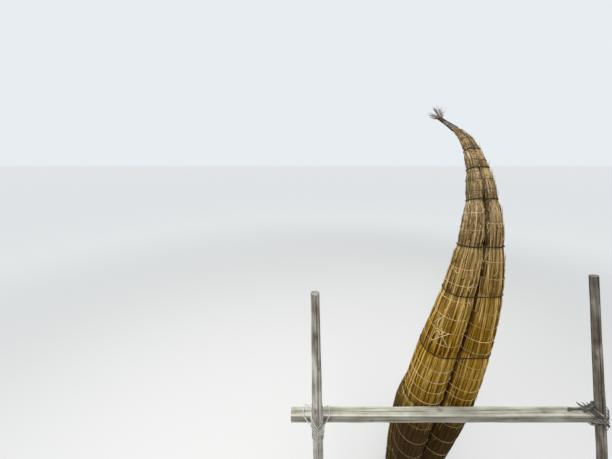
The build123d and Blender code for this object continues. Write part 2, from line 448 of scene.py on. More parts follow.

# %% [markdown]
# ## Dry reed
#
# A dry reed is golden where it is fresh and grey-brown where it has weathered, with fine fibres along it
# and blotches where it was wet. The strands carry their own numbers, so the noise is stretched along each
# reed by using "along" and "around" as its coordinates, and the strand's tone shifts each reed's colour.
# The station turns the boat greyer and more speckled near the bow, and darker by the ground, partly as
# damp and partly as painted shade.
# The reeds are also darker just past each main rope and get lighter towards the next one, as a row of
# short skirts would under light from above. This is painted shade and painted light, so a colour ramp
# along the boat holds a dark and a light stop at every rope.

# %% Mix the dry reed finish
RAIL_STATION = 1.4417
ROPE_STATIONS = [0.12, RAIL_STATION, 2.0, 2.5, 2.82, 3.11, 3.32, 3.47]
SHADE_RAMP_LENGTH = 4.2  # metres along the boat that the ramp's 0 to 1 stands for
SHADE_STOP_EDGE = 0.006
CALM_TONE = 0.54  # near the bow the reeds' tones draw together round this one
GOLDEN_STOPS = [
    (0.00, (0.036, 0.014, 0.001)),
    (0.25, (0.135, 0.063, 0.003)),
    (0.55, (0.295, 0.157, 0.010)),
    (0.80, (0.470, 0.280, 0.033)),
    (1.00, (0.680, 0.470, 0.130)),
]
GREY_STOPS = [
    (0.00, (0.028, 0.016, 0.006)),
    (0.30, (0.118, 0.078, 0.033)),
    (0.60, (0.262, 0.186, 0.088)),
    (1.00, (0.490, 0.380, 0.220)),
]
SPECK_COLOUR = (0.040, 0.025, 0.013)
# the colour of the reeds by the ground: partly damp, partly painted shade
DAMP_AND_SHADE_COLOUR = (0.022, 0.009, 0.001)


def painted_rope_shade(finish, station):
    """Painted shade and light: a number that is low just past each main rope and rises up to the next one.
    """
    stops = [(0.0, (0.5, 0.5, 0.5))]
    for rope in ROPE_STATIONS:
        stops.append(((rope - SHADE_STOP_EDGE) / SHADE_RAMP_LENGTH, (0.66, 0.66, 0.66)))
        stops.append(((rope + SHADE_STOP_EDGE) / SHADE_RAMP_LENGTH, (0.34, 0.34, 0.34)))
    shade = finish.ramp(finish.math("DIVIDE", station, SHADE_RAMP_LENGTH), stops)
    return finish.spread(shade, 0.0, 1.0, -0.35, 0.35)


def dry_reed(name, damp_and_shade_share):
    """Reed weathered towards the bow, and darker by the ground as damp and painted shade, by up to that
    share.
    """
    finish = Finish(name, 0.66, 0.06)
    along, around, tone, station = [finish.field(f) for f in ("along", "around", "tone", "station")]
    own_place = finish.times(tone, 91.0)
    blotch = finish.noise(finish.times(along, 5.0), own_place, 0.0, 3.0)
    fibre = finish.noise(finish.times(along, 14.0), finish.times(around, 22.0), own_place)
    calm = finish.spread(station, 2.7, 3.4, 0.0, 0.6)
    value = finish.math("MULTIPLY_ADD", finish.math("SUBTRACT", CALM_TONE, tone), calm, tone)
    value = finish.plus(value, finish.spread(blotch, 0.3, 0.7, -0.26, 0.26))
    value = finish.plus(value, finish.spread(fibre, 0.3, 0.7, -0.16, 0.16))
    # painted shade just past each main rope, painted light towards the next one
    value = finish.plus(value, painted_rope_shade(finish, station))
    weathered = finish.spread(station, 2.2, 3.1)
    weathered = finish.plus(weathered, finish.spread(blotch, 0.45, 0.75, 0.0, 0.35))
    colour = finish.mix(weathered, finish.ramp(value, GOLDEN_STOPS), finish.ramp(value, GREY_STOPS))
    speck = finish.noise(finish.times(along, 45.0), finish.times(around, 3.0), own_place)
    speckled = finish.spread(station, 2.5, 3.1, 0.08, 0.66)
    colour = finish.mix(finish.times(finish.spread(speck, 0.54, 0.63), speckled), colour, SPECK_COLOUR)
    # darker by the ground, partly damp and partly painted shade
    damp_and_shade_edge = finish.plus(station, finish.spread(blotch, 0.3, 0.7, -0.12, 0.12))
    damp_and_shade_mask = finish.spread(damp_and_shade_edge, 1.50, 1.16, 0.0, damp_and_shade_share)
    finish.bump(fibre, 0.0009)
    print(name, "mixed, damp share", damp_and_shade_share)
    return finish.colour(finish.mix(damp_and_shade_mask, colour, DAMP_AND_SHADE_COLOUR))


hull_reed = dry_reed("hull_reed", 0.90)
deck_reed = dry_reed("deck_reed", 0.72)

# %% [markdown]
# ## The twine hoops
#
# Before the bundles are lashed together, each is wound with thin pale twine, about a hand apart, and
# twice as far apart below the rail. Near the bow the hoops are thin, dark and close together. They aren't
# perfectly even, so their stations get a little seeded randomness. They are chosen before the reeds are
# laid, because every hoop pulls a waist into its bundle.

# %% Choose where the twine goes
HOOP_PITCH = 0.118
DECK_HOOP_PITCH = HOOP_PITCH * 1.2
CLEAR_OF_ROPE = 0.022


def hoop_places(seed, first, last, pitch):
    """Stations of a bundle's hoops, clear of the ropes, and only every second one below the rail."""
    dice = np.random.default_rng(seed)
    places = np.arange(first, last, pitch)
    places = places + dice.normal(0.0, 0.07 * pitch, len(places))
    places = [p for number, p in enumerate(places) if p > RAIL_STATION or number % 2 == 0]
    return [p for p in places if min(abs(p - rope) for rope in ROPE_STATIONS) > CLEAR_OF_ROPE]


HOOPS = {
    ("hull", "starboard"): hoop_places(11, 0.21, 3.08, HOOP_PITCH),
    ("hull", "port"): hoop_places(12, 0.25, 3.08, HOOP_PITCH),
    ("deck", "starboard"): hoop_places(13, 0.22, 2.70, DECK_HOOP_PITCH),
    ("deck", "port"): hoop_places(14, 0.27, 2.70, DECK_HOOP_PITCH),
}
DARK_HOOPS = {
    ("hull", "starboard"): hoop_places(21, 3.16, 3.74, 0.071),
    ("hull", "port"): hoop_places(22, 3.18, 3.74, 0.066),
    ("deck", "starboard"): hoop_places(23, 2.80, 3.25, 0.10),
    ("deck", "port"): hoop_places(24, 2.84, 3.25, 0.10),
}
print({key: len(places) for key, places in HOOPS.items()})

# %% [markdown]
# ## A bundle with its waists
#
# Everything that is tied round a bundle bites into it, a rope deeper and wider than a twine hoop. A reed
# is a line with few points, so its points must sit where the waists are: at each tie and a little to both
# sides of it. Where two of them come too close, one is left out. The bow is thin, so there the same tie
# bites less.

# %% Find a bundle's surface
HOOP_BITE = (0.0026, 0.017)  # depth and reach
DARK_HOOP_BITE = (0.0009, 0.012)
ROPE_BITE = (0.0075, 0.032)
BUNDLE_END = {"hull": 4.035, "deck": 3.36}
REED_POINT_STEP = 0.09
BESIDE_HOOP = 0.016
BESIDE_ROPE = 0.026
TOO_CLOSE = 0.006
THIN_BUNDLE = 0.05  # below this radius, all that lies on a bundle gets finer


def reed_stations(key):
    """Stations that catch every waist of a bundle."""
    last = BUNDLE_END[key[0]]
    places = list(np.arange(-0.05, last, REED_POINT_STEP))
    for tie in HOOPS[key] + DARK_HOOPS[key]:
        places += [tie - BESIDE_HOOP, tie, tie + BESIDE_HOOP]
    for tie in ROPE_STATIONS:
        places += [tie - BESIDE_ROPE, tie, tie + BESIDE_ROPE]
    places = np.unique(np.round([p for p in places if p <= last] + [last], 4))
    return places[np.concatenate([[True], np.diff(places) > TOO_CLOSE])]


def ties_of(key):
    """Everything that bites into a bundle."""
    pale = [(place, *HOOP_BITE) for place in HOOPS[key]]
    dark = [(place, *DARK_HOOP_BITE) for place in DARK_HOOPS[key]]
    return pale + dark + [(place, *ROPE_BITE) for place in ROPE_STATIONS]


def bundle_surface(key, stations):
    """A bundle's axis and its radius with the waists taken off."""
    centre, radius, across, deckward = bundle_axis(key[0], SIDES[key[1]], stations)
    share = np.clip(radius / THIN_BUNDLE, 0.25, 1.0)
    return centre, radius - waist(stations, ties_of(key)) * share, across, deckward


def on_bundle(key, stations, angle, lift):
    """A line on a bundle, at angles round it and heights over its reeds, and its outward way."""
    centre, radius, across, deckward = bundle_surface(key, stations)
    out = turned(across, deckward, angle)
    return centre + out * (radius + lift)[:, None], out


print("points along each reed:", {key: len(reed_stations(key)) for key in HOOPS})

# %% [markdown]
# ## How wide each reed is, and how light
#
# As many reeds lie side by side as fit round the bundle, and where it gets thinner some of them end. Each
# reed has a weight that fades to nothing near its end, and the weights at a station share out the
# circumference. So neighbours close up over a pointed tip, as they do in a bundle that is bound by hand.
# The tones are random numbers less the average of five neighbours, which keeps light and dark reeds side
# by side and lets no broad stripe form. A few are bleached, and more are dark.

# %% Share out the reeds
START_SHIFT, START_FADE = (-0.10, 0.05), 0.22
END_SHIFT, END_FADE = (-0.16, 0.12), 0.42
REED_WIDTHS = (0.72, 1.3)
BASE_TONE, TONE_SCATTER = 0.48, 0.24
BLEACHED_SHARE, BLEACHED_BY = 0.09, 0.22
DARKENED_SHARE, DARKENED_BY = 0.18, 0.24
NEIGHBOURS = 5


def ramp_in(values, low, high):
    """Smooth step from 0 at low to 1 at high."""
    share = np.clip((values - low) / (high - low), 0.0, 1.0)
    return share * share * (3 - 2 * share)


def reed_weights(stations, fits, dice):
    """For every reed, its share of the width at every station. fits is how many find room there."""
    total = int(np.ceil(fits.max()))
    weights = np.zeros((total, len(stations)))
    for order, reed in enumerate(dice.permutation(total)):
        present = stations[fits > order]
        start = present[0] + dice.uniform(*START_SHIFT)
        end = present[-1] + dice.uniform(*END_SHIFT)
        rise = 1.0 if present[0] == stations[0] else ramp_in(stations, start, start + START_FADE)
        fall = 1.0 if present[-1] == stations[-1] else 1.0 - ramp_in(stations, end - END_FADE, end)
        weights[reed] = rise * fall * dice.uniform(*REED_WIDTHS)
    return weights


def reed_tones(total, dice):
    """A tone for every reed, mostly unlike its neighbours'."""
    own = dice.normal(0.0, TONE_SCATTER, total + NEIGHBOURS - 1)
    average = np.convolve(own, np.ones(NEIGHBOURS) / NEIGHBOURS, mode="valid")
    tones = BASE_TONE + own[NEIGHBOURS // 2:-(NEIGHBOURS // 2)] - average
    tones[dice.random(total) < BLEACHED_SHARE] += BLEACHED_BY
    tones[dice.random(total) < DARKENED_SHARE] -= DARKENED_BY
    return np.clip(tones, 0.02, 0.98)


print("tones of six reeds", reed_tones(6, np.random.default_rng(1)).round(2))

# %% [markdown]
# ## What lies loose on a bundle
#
# Handling leaves bleached straws over the reeds and short broken tips that lift off them, most of all
# near the bow. Each is one thin strand. A straw stays on the surface, and a tip rises from it along a
# power curve and gets thinner. On the port side a few tips stand well out from the edge.

# %% Add the loose straws and tips
LOOSE_STRAWS = {"hull": 110, "deck": 40}
LOOSE_TIPS = {  # how many, and their ranges of stations, angles and lifts
    "hull": (260, (2.55, 3.66), (-2.7, 2.7), (-0.02, 0.12)),
    "deck": (60, (2.4, 3.2), (0.2, 2.9), (-0.02, 0.12)),
}
EDGE_TIPS = (30, (3.18, 3.58), (-0.9, 0.3), (0.10, 0.34))
STRAW_LENGTHS, STRAW_RADII = (0.12, 0.5), (0.0010, 0.0019)
TIP_LENGTHS, TIP_RADII = (0.03, 0.10), (0.0013, 0.0030)
STRAW_POINTS, TIP_POINTS = 12, 7


def add_straws(bundle, key, dice, count):
    """Thin bleached straws that lie loosely over the reeds."""
    for _ in range(count):
        start = dice.uniform(0.05, 2.9)
        stations = np.linspace(start, start + dice.uniform(*STRAW_LENGTHS), STRAW_POINTS)
        angle = dice.uniform(-2.65, 2.65) + np.linspace(0.0, dice.normal(0.0, 0.07), STRAW_POINTS)
        line, out = on_bundle(key, stations, angle, 0.0005)
        bundle.sweep(line, dice.uniform(*STRAW_RADII), out, dice.uniform(0.75, 1.0), stations, sides=5)


def add_tips(bundle, key, dice, count, places, angles, lifts):
    """Short reed tips that lift off the surface."""
    reach = np.linspace(0.0, 1.0, TIP_POINTS)
    for _ in range(count):
        long = dice.uniform(*TIP_LENGTHS)
        stations = dice.uniform(*places) + long * reach
        angle = dice.uniform(*angles) + dice.normal(0.0, 0.25) * reach
        lift = long * dice.uniform(*lifts) * reach**1.7 - 0.0004
        line, out = on_bundle(key, stations, angle, lift)
        thick = dice.uniform(*TIP_RADII) * (1.0 - 0.75 * reach)
        tone = dice.uniform(0.02, 0.35) if dice.random() < 0.5 else dice.uniform(0.55, 1.0)
        bundle.sweep(line, thick, out, tone, stations, sides=5)


print("loose strands on a hull bundle:", LOOSE_STRAWS["hull"] + LOOSE_TIPS["hull"][0])

# %% [markdown]
# ## How a single reed lies
#
# In a real bundle a reed sways a little and stands a little proud or sunk. Waves of random length give
# both. The reeds in the crease between the two hull bundles are darker, because little light gets there.
# The stern is trimmed level with the ground, so every reed is cut just over it, with a new point put in
# right at the cut.

# %% Shape a single reed
CREASE_SHADE, CREASE_REACH = 0.50, 0.10
MOST_SWAY = 0.35  # in shares of the reed's own width
HEIGHT_SCATTER, HEIGHT_WAVE, HEIGHT_LIMITS = 0.0007, 0.0004, (-0.0016, 0.0011)
SUNK_SHARE, SUNK_BY = 0.14, 0.0024
ANY_PHASE = 6.3  # about a whole turn in radians


def cut_at(height, line, *others):
    """A line and its other numbers from a height up, with a point put in right at the cut."""
    first = int(np.argmax(line[:, 2] > height))
    if first == 0:
        return line, *others
    share = (height - line[first - 1, 2]) / (line[first, 2] - line[first - 1, 2])
    kept = []
    for values in (line, *others):
        at_cut = values[first - 1] + share * (values[first] - values[first - 1])
        kept.append(np.concatenate([[at_cut], values[first:]]))
    return kept


def sway_and_height(where, dice):
    """How far a reed sways and how far it stands proud, all along it."""
    sway = np.sin(where * dice.uniform(5, 11) + dice.uniform(0, ANY_PHASE)) * dice.uniform(0.0, MOST_SWAY)
    own_height = dice.normal(0.0, HEIGHT_SCATTER)
    wave = np.sin(where * dice.uniform(3, 9) + dice.uniform(0, ANY_PHASE))
    sunk = SUNK_BY * (dice.random() < SUNK_SHARE)
    return sway, np.clip(own_height + HEIGHT_WAVE * wave, *HEIGHT_LIMITS) - sunk


def crease_shade(kind, angle, first, last):
    """How much darker a reed is for lying in the crease of the hull."""
    if kind == "deck":
        return 0.0
    away = np.min(np.minimum(angle - first, last - angle))
    return CREASE_SHADE * math.exp(-((away / CREASE_REACH) ** 2))


trial_sway, trial_height = sway_and_height(np.linspace(0, 3, 4), np.random.default_rng(1))
print("one reed sways", trial_sway.round(2), "and stands proud by", (trial_height * 1000).round(2), "mm")

# %% [markdown]
# ## Laying the reeds
#
# The reeds could be painted on as stripes, but then the outline stays a smooth tube and the gaps catch no
# shadow. Real strands give both. They lie round the bundle from seam to seam, each as wide as its weight
# gives it at that station. Under them lies a core at the darkest tone, painted shade seen through the
# gaps, so no light shines through.

# %% Lay the reeds round a bundle
REED_HALF_WIDTH = [(0.0, 0.0038), (1.0, 0.0041), (2.2, 0.0038), (3.1, 0.0027), (4.1, 0.0015)]
THINNEST_REED = 0.00035
THICKEST_REED = 0.0068
SEAM_ANGLE = {"hull": math.acos(LOBE_SHARE) + 0.06, "deck": 0.06}  # left free where bundles press
# deck reeds get lighter tones: painted light against the shade the hull bundles cast on them
DECK_PAINTED_LIGHT = 0.10
REED_CUTS, CORE_CUT = (0.001, 0.004), 0.006  # heights over the ground


def lay_reeds(key, seed):
    """All the reeds of one bundle, its dark core, and what lies loose on it."""
    kind, side_name = key
    dice = np.random.default_rng(seed)
    stations = reed_stations(key)
    centre, radius, across, deckward = bundle_surface(key, stations)
    first = np.pi + SEAM_ANGLE[kind]
    span = 2 * np.pi - 2 * SEAM_ANGLE[kind]
    half_width = np.interp(stations, *zip(*REED_HALF_WIDTH))
    weights = reed_weights(stations, span * radius / (2 * half_width), dice)
    total = weights.sum(axis=0)
    angles = first + (np.cumsum(weights, axis=0) - weights / 2) / total * span
    half = weights / total * span * radius / 2
    tones = reed_tones(len(weights), dice) + (DECK_PAINTED_LIGHT if kind == "deck" else 0.0)
    bundle = Strands(f"{side_name}_{kind}_reeds")
    for reed, tone in enumerate(tones):
        keep = half[reed] > THINNEST_REED
        if keep.sum() < 3:
            continue
        where = stations[keep]
        thick = np.minimum(half[reed][keep], THICKEST_REED)
        sway, proud = sway_and_height(where, dice)
        angle = angles[reed][keep] + sway * thick / radius[keep]
        reach = radius[keep] - thick + proud * np.clip(radius[keep] / THIN_BUNDLE, 0.2, 1.0)
        out = turned(across[keep], deckward[keep], angle)
        line = centre[keep] + out * reach[:, None]
        line, thick, out, where = cut_at(dice.uniform(*REED_CUTS), line, thick, out, where)
        tone = float(tone - crease_shade(kind, angle, first, first + span))
        bundle.sweep(line, thick, out, tone, where)
    inner = np.maximum(radius - 1.7 * half_width, radius * 0.6)
    core, inner, out, where = cut_at(CORE_CUT, centre, inner, deckward, stations)
    # the core's tone of 0 is painted shade, seen deep in the gaps between the reeds
    bundle.sweep(core, inner, out, 0.0, where, sides=24)
    add_straws(bundle, key, dice, LOOSE_STRAWS[kind])
    add_tips(bundle, key, dice, *LOOSE_TIPS[kind])
    if key == ("hull", "port"):
        add_tips(bundle, key, dice, *EDGE_TIPS)
    return bundle


REED_MATERIALS = {"hull": hull_reed, "deck": deck_reed}
REED_SLOTS = {"hull": "hull_reeds", "deck": "deck_reeds"}
FRAME_NODES = {"hull": "mother", "deck": "son"}
for seed, key in enumerate(HOOPS, 31):
    kind, side_name = key
    reeds = lay_reeds(key, seed).finish(REED_MATERIALS[kind], REED_SLOTS[kind])
    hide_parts(f"{side_name}_{FRAME_NODES[kind]}_bundle")

# %% [markdown]
# ## Rope and twine
#
# Laid rope is three strands that wind round each other, which shows as slanting bumps. At this size a
# smooth tube with painted stripes looks false from close by, so the main ropes and the rack's cords are
# three real strands each. The thin twine is a single strand whose twist is only a bump. All of them share
# one recipe: a wave that winds round the strand, fuzz, soft patches, and the strand's own tone.

# %% Mix the rope finishes
def laid_fibre(name, roughness, twist_pitch, relief, stops):
    """Twisted fibre whose twist goes round once in every pitch."""
    finish = Finish(name, roughness, 0.15)
    along, around, tone = [finish.field(f) for f in ("along", "around", "tone")]
    lay = finish.plus(finish.math("DIVIDE", along, twist_pitch), around)
    twist = finish.math("SINE", finish.times(lay, 2 * math.pi))
    own_place = finish.times(tone, 50.0)
    fuzz = finish.noise(finish.times(along, 260.0), finish.times(around, 9.0), own_place, 3.0)
    patch = finish.noise(finish.times(along, 9.0), finish.times(tone, 31.0))
    value = finish.plus(finish.times(twist, 0.12), finish.spread(fuzz, 0.3, 0.7, 0.15, 0.85))
    value = finish.plus(value, finish.spread(patch, 0.35, 0.65, -0.2, 0.2))
    value = finish.plus(value, finish.spread(tone, 0.0, 1.0, -0.32, 0.32))
    finish.bump(finish.plus(fuzz, finish.times(twist, 0.5)), relief)
    print(name, "mixed")
    return finish.colour(finish.ramp(value, stops))


tarred_rope = laid_fibre("tarred_rope", 0.75, 0.006, 0.0006, [
    (0.0, (0.006, 0.003, 0.002)),
    (0.5, (0.021, 0.013, 0.008)),
    (1.0, (0.085, 0.058, 0.038)),
])
pale_twine = laid_fibre("pale_twine", 0.70, 0.004, 0.0004, [
    (0.0, (0.230, 0.150, 0.055)),
    (0.5, (0.480, 0.350, 0.160)),
    (1.0, (0.740, 0.600, 0.360)),
])
thin_dark_twine = laid_fibre("thin_dark_twine", 0.75, 0.004, 0.0004, [
    (0.0, (0.030, 0.022, 0.016)),
    (0.6, (0.095, 0.070, 0.050)),
    (1.0, (0.210, 0.165, 0.120)),
])
grey_cord = laid_fibre("grey_cord", 0.80, 0.006, 0.0005, [
    (0.0, (0.130, 0.120, 0.100)),
    (0.5, (0.390, 0.375, 0.335)),
    (1.0, (0.720, 0.705, 0.650)),
])
old_rope = laid_fibre("old_rope", 0.80, 0.006, 0.0005, [
    (0.0, (0.022, 0.019, 0.016)),
    (0.5, (0.085, 0.078, 0.070)),
    (1.0, (0.260, 0.245, 0.225)),
])

# %% [markdown]
# ## Tight loops and twisted rope
#
# A rope pulled tight round several round things follows their outer hull: an arc on each, and a straight
# run between two. Many points on the circles and a convex hull give that line at once, whatever circles
# there are. Then it is cut into even steps, so that the twist is even too. The rope on the line is three
# strands, each a circle that turns as it goes along. A closed rope gets a whole number of turns, so that
# its strands meet.

# %% Write the rope helpers
STRAND_SHARE = 2.155  # a rope's radius over its strand's, where three strands touch each other
STRAND_TONE_STEP = 0.07  # from one strand to the next
CIRCLE_POINTS = 180


def tight_loop(circles, step):
    """Even points of the closed line round circles (x, y, radius), in their plane."""
    turn = np.linspace(0, 2 * np.pi, CIRCLE_POINTS, endpoint=False)
    cloud = [(x + r * math.cos(a), y + r * math.sin(a)) for x, y, r in circles for a in turn]
    hull = np.array([cloud[i] for i in geometry.convex_hull_2d([Vector(p) for p in cloud])])
    hull = np.concatenate([hull, hull[:1]])
    lengths = lengths_along(hull)
    places = np.linspace(0.0, lengths[-1], max(12, int(lengths[-1] / step)), endpoint=False)
    return np.stack([np.interp(places, lengths, hull[:, axis]) for axis in (0, 1)], axis=-1)


def twist_rope(rope, line, normal, radius, pitch, closed=True, tone=0.5, sides=6):
    """Three strands that wind round a line. The first one starts on the side that normal points to."""
    forward = line_ways(line, closed)
    normal = square_to(forward, normal)
    across = np.cross(forward, normal)
    following = np.concatenate([line[1:], line[:1] if closed else line[-1:]])
    length = np.linalg.norm(following - line, axis=1).sum()
    turns = max(1, round(length / pitch)) if closed else length / pitch
    phase = 2 * np.pi * turns * lengths_along(line) / length
    strand = radius / STRAND_SHARE
    for number in range(3):
        out = turned(normal, across, phase + number * 2 * np.pi / 3)
        own_line, own_tone = line + out * (radius - strand), tone + STRAND_TONE_STEP * number
        rope.sweep(own_line, strand, out, own_tone, sides=sides, closed=closed)


trial_loop = tight_loop([(0.0, 0.0, 0.1), (0.3, 0.0, 0.1)], 0.01)
print("a loop round two circles has", len(trial_loop), "points")

# %% [markdown]
# ## The main lashings
#
# Dark tarred rope ties all the bundles together: once at the stern, once where the boat leans on its
# rail, and six times on the way to the bow. Each loop is drawn on a plane square to the spine, round the
# circles of the bundles at their waists, and ends in a knot between the deck bundles: two short wraps
# over the rope, and two tails that bend down.

# %% Tie the main lashings
ROPE_RADIUS = 0.0045
ROPE_PITCH = 0.030
ROPE_STEP = 0.0035
DECK_END_STATION = 3.33
THINNER_ROPE_FROM, THINNER_ROPE_SHARE = 3.0, 0.8
TAIL_SPREAD, TAIL_DROP = 0.045, 0.055
ACROSS = np.array([1.0, 0.0, 0.0])


def lashing_circles(station, standoff):
    """Circles of the bundles at a station, as the rope feels them, across and deckward of the spine."""
    where = np.array([station])
    origin, _, deckward = spine_frame(where)
    circles = []
    for key in HOOPS:
        if key[0] == "deck" and station > DECK_END_STATION:
            continue
        centre, radius, _, _ = bundle_surface(key, where)
        offset = centre[0] - origin[0]
        circles.append((offset[0], float(offset @ deckward[0]), float(radius[0]) + standoff))
    return circles


def add_knot(rope, place, forward, deckward, radius):
    """A tied end: two short wraps over the rope and two tails."""
    turn = np.linspace(0.0, 2 * np.pi, 28, endpoint=False)[:, None]
    for offset in (-1.1, 1.1):
        middle = place + ACROSS * radius * offset
        wrap = middle + (forward * np.cos(turn) + deckward * np.sin(turn)) * radius * 2.0
        twist_rope(rope, wrap, ACROSS, radius * 0.9, ROPE_PITCH * 0.5)
    reach = np.linspace(0.0, 1.0, 26)[:, None]
    for tail in (-1.0, 1.0):
        end = ACROSS * tail * TAIL_SPREAD * reach - forward * TAIL_DROP * reach**2
        end = end + deckward * 0.006 * np.sin(reach * 3.1)
        line = place + deckward * radius * 1.6 + end
        twist_rope(rope, line, deckward, radius * 0.9, ROPE_PITCH, closed=False)


for number, station in enumerate(ROPE_STATIONS, 1):
    radius = ROPE_RADIUS * (THINNER_ROPE_SHARE if station > THINNER_ROPE_FROM else 1.0)
    flat = tight_loop(lashing_circles(station, radius), ROPE_STEP)
    origin, forward, deckward = [part[0] for part in spine_frame(np.array([station]))]
    line = origin + flat[:, :1] * ACROSS + flat[:, 1:] * deckward
    rope = Strands(f"main_lashing_{number}")
    twist_rope(rope, line, forward, radius, ROPE_PITCH)
    on_deck_side = flat[:, 1] > flat[:, 1].mean()
    knot_place = line[np.argmin(np.abs(flat[:, 0]) - 1e3 * on_deck_side)]
    add_knot(rope, knot_place, forward, deckward, radius)
    lashing = rope.finish(tarred_rope, "dark_rope")
    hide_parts(f"hull_lashing_{number}")

# %% [markdown]
# ## The twine hoops on the reeds
#
# Each hoop is a closed strand that follows its own bundle's waist, a little tilted, with a small knot and
# two loose ends somewhere on it. Against the other hull bundle it lies flat, so there its sideways reach
# is limited to the plane where the two press together.

# %% Wind the hoops
PALE_RADIUS = 0.0016
DARK_RADIUS = 0.0015
HOOP_TILT = 0.0022
HOOP_POINTS = 72
FLAT_SIDE_GAP = 0.0004
# hoops below the rail get darker tones: partly dirt, partly painted shade, like the reeds there
DARKER_BELOW, DARKER_SHARE = RAIL_STATION - 0.1, 0.25


def tie_knot(twine, key, place, dice, radius, tone):
    """A small overhand knot with two loose ends, lying on the bundle."""
    angle = dice.uniform(-2.6, -0.5) if key[0] == "hull" else dice.uniform(0.5, 2.6)
    reach = np.linspace(0.0, 1.0, 12)
    for tail in (-1.0, 1.0):
        bend = dice.uniform(-0.6, 0.6)
        long = dice.uniform(0.012, 0.040)
        stations = place + tail * long * reach * dice.uniform(0.5, 1.0)
        centre, bundle_r, across, deckward = bundle_surface(key, stations)
        out = turned(across, deckward, angle + (long * bend * reach**1.5) / bundle_r)
        lift = radius * 1.3 + dice.uniform(0.001, 0.007) * reach**1.5
        twine.sweep(centre + out * (bundle_r + lift)[:, None], radius * 0.85, out, tone)
    around = np.linspace(0.0, 2 * np.pi, 14, endpoint=False)
    centre, bundle_r, across, deckward = bundle_surface(key, np.array([place]))
    out = across[0] * math.cos(angle) + deckward[0] * math.sin(angle)
    middle = centre[0] + out * (bundle_r[0] + radius)
    forward = spine_frame(np.array([place]))[1][0]
    ring = turned(out, forward, around)
    twine.sweep(middle + ring * radius * 1.7, radius, ring, tone, sides=5, closed=True)


def wind_hoops(key, places, radius, name, material, seed):
    """One bundle's hoops, each with its knot."""
    dice = np.random.default_rng(seed)
    twine = Strands(name)
    angle = np.linspace(0.0, 2 * np.pi, HOOP_POINTS, endpoint=False)
    for place in places:
        tilt = dice.normal(0.0, HOOP_TILT)
        stations = place + tilt * np.cos(angle + dice.uniform(0, ANY_PHASE))
        centre, bundle_r, across, deckward = bundle_surface(key, stations)
        reach = bundle_r + radius * 0.55
        sideways = np.cos(angle) * reach
        if key[0] == "hull":
            sideways = np.maximum(sideways, -LOBE_SHARE * bundle_r - FLAT_SIDE_GAP)
        line = centre + across * sideways[:, None] + deckward * (np.sin(angle) * reach)[:, None]
        tone = float(dice.uniform(0.15, 0.95)) * (1.0 if place > DARKER_BELOW else DARKER_SHARE)
        twine.sweep(line, radius, turned(across, deckward, angle), tone, sides=5, closed=True)
        tie_knot(twine, key, place, dice, radius, tone)
    twine.finish(material, REED_SLOTS[key[0]])


for seed, key in enumerate(HOOPS, 51):
    kind, side_name = key
    wind_hoops(key, HOOPS[key], PALE_RADIUS, f"{side_name}_{kind}_pale_hoops", pale_twine, seed)
    dark_name = f"{side_name}_{kind}_dark_hoops"
    wind_hoops(key, DARK_HOOPS[key], DARK_RADIUS, dark_name, thin_dark_twine, seed + 10)

# %% [markdown]
# ## Loose twine
#
# On the starboard side, above the rail, a few ends of pale twine have come loose and cross each other.
# Each is a short list of given places, softened into a curve: every inner point moves again and
# again towards the middle of its neighbours, and the two ends stay.

# %% Drape the loose ends
LOOSE_ENDS = [  # station, angle in degrees and lift over the reeds, for each place
    [(2.10, -27, 0.002), (2.17, -46, 0.008), (2.22, -68, 0.003)],
    [(2.24, -43, 0.003), (2.19, -50, 0.010), (2.12, -72, 0.004)],
    [(2.24, -12, 0.002), (2.29, -24, 0.008), (2.34, -38, 0.002)],
    [(2.16, -26, 0.003), (2.22, -34, 0.012), (2.18, -46, 0.006), (2.23, -52, 0.003)],
    [(2.31, -30, 0.002), (2.27, -26, 0.009), (2.22, -33, 0.005), (2.20, -25, 0.002)],
]
LOOSE_RADIUS = 0.0019


def soft_line(places, count=30, passes=14):
    """A smooth line of numbers through about the given places, with both ends kept."""
    places = np.array(places, dtype=float)
    where = np.linspace(0, len(places) - 1, count)
    line = np.stack([np.interp(where, np.arange(len(places)), column) for column in places.T], axis=-1)
    for _ in range(passes):
        line[1:-1] = (line[:-2] + 2 * line[1:-1] + line[2:]) / 4
    return line


loose_twine = Strands("loose_twine")
for places in LOOSE_ENDS:
    path = soft_line(places)
    line, out = on_bundle(("hull", "starboard"), path[:, 0], np.radians(path[:, 1]), path[:, 2])
    loose_twine.sweep(line, LOOSE_RADIUS, out, 0.9)
loose_twine.finish(pale_twine, "hull_reeds")

# %% [markdown]
# ## The bow's neck
#
# The last part of the bow is whipped: a dark cord and a thinner, paler one are wound in turn round both
# hull bundles, which are thumb-thick here, and the very end is wound with dark cord alone. Each line is a
# helix on a shape like a running track, two half circles and two straight sides, that moves along the
# spine as it goes round.

# %% Whip the neck
WHIP_CORDS = [  # name, radius, from and to station, pitch, start in turns, tone, finish
    ("neck_dark_whipping", 0.0036, 3.755, 3.925, 0.0125, 0.0, 0.5, tarred_rope),
    ("neck_pale_whipping", 0.0028, 3.755, 3.925, 0.0125, 0.5, 0.0, grey_cord),
    ("neck_end_whipping", 0.0036, 3.925, 4.033, 0.0070, 0.0, 0.5, tarred_rope),
]
POINTS_A_TURN = 40


def track_point(turn, half_long, half_round):
    """Point and outward direction on a running-track outline, for turn in whole turns."""
    around = 2 * np.pi * turn
    out = np.stack([np.cos(around), np.sin(around)], axis=-1)
    centre = np.clip(out[:, 0] * 4, -1, 1) * half_long
    return np.stack([centre + out[:, 0] * half_round, out[:, 1] * half_round], axis=-1), out


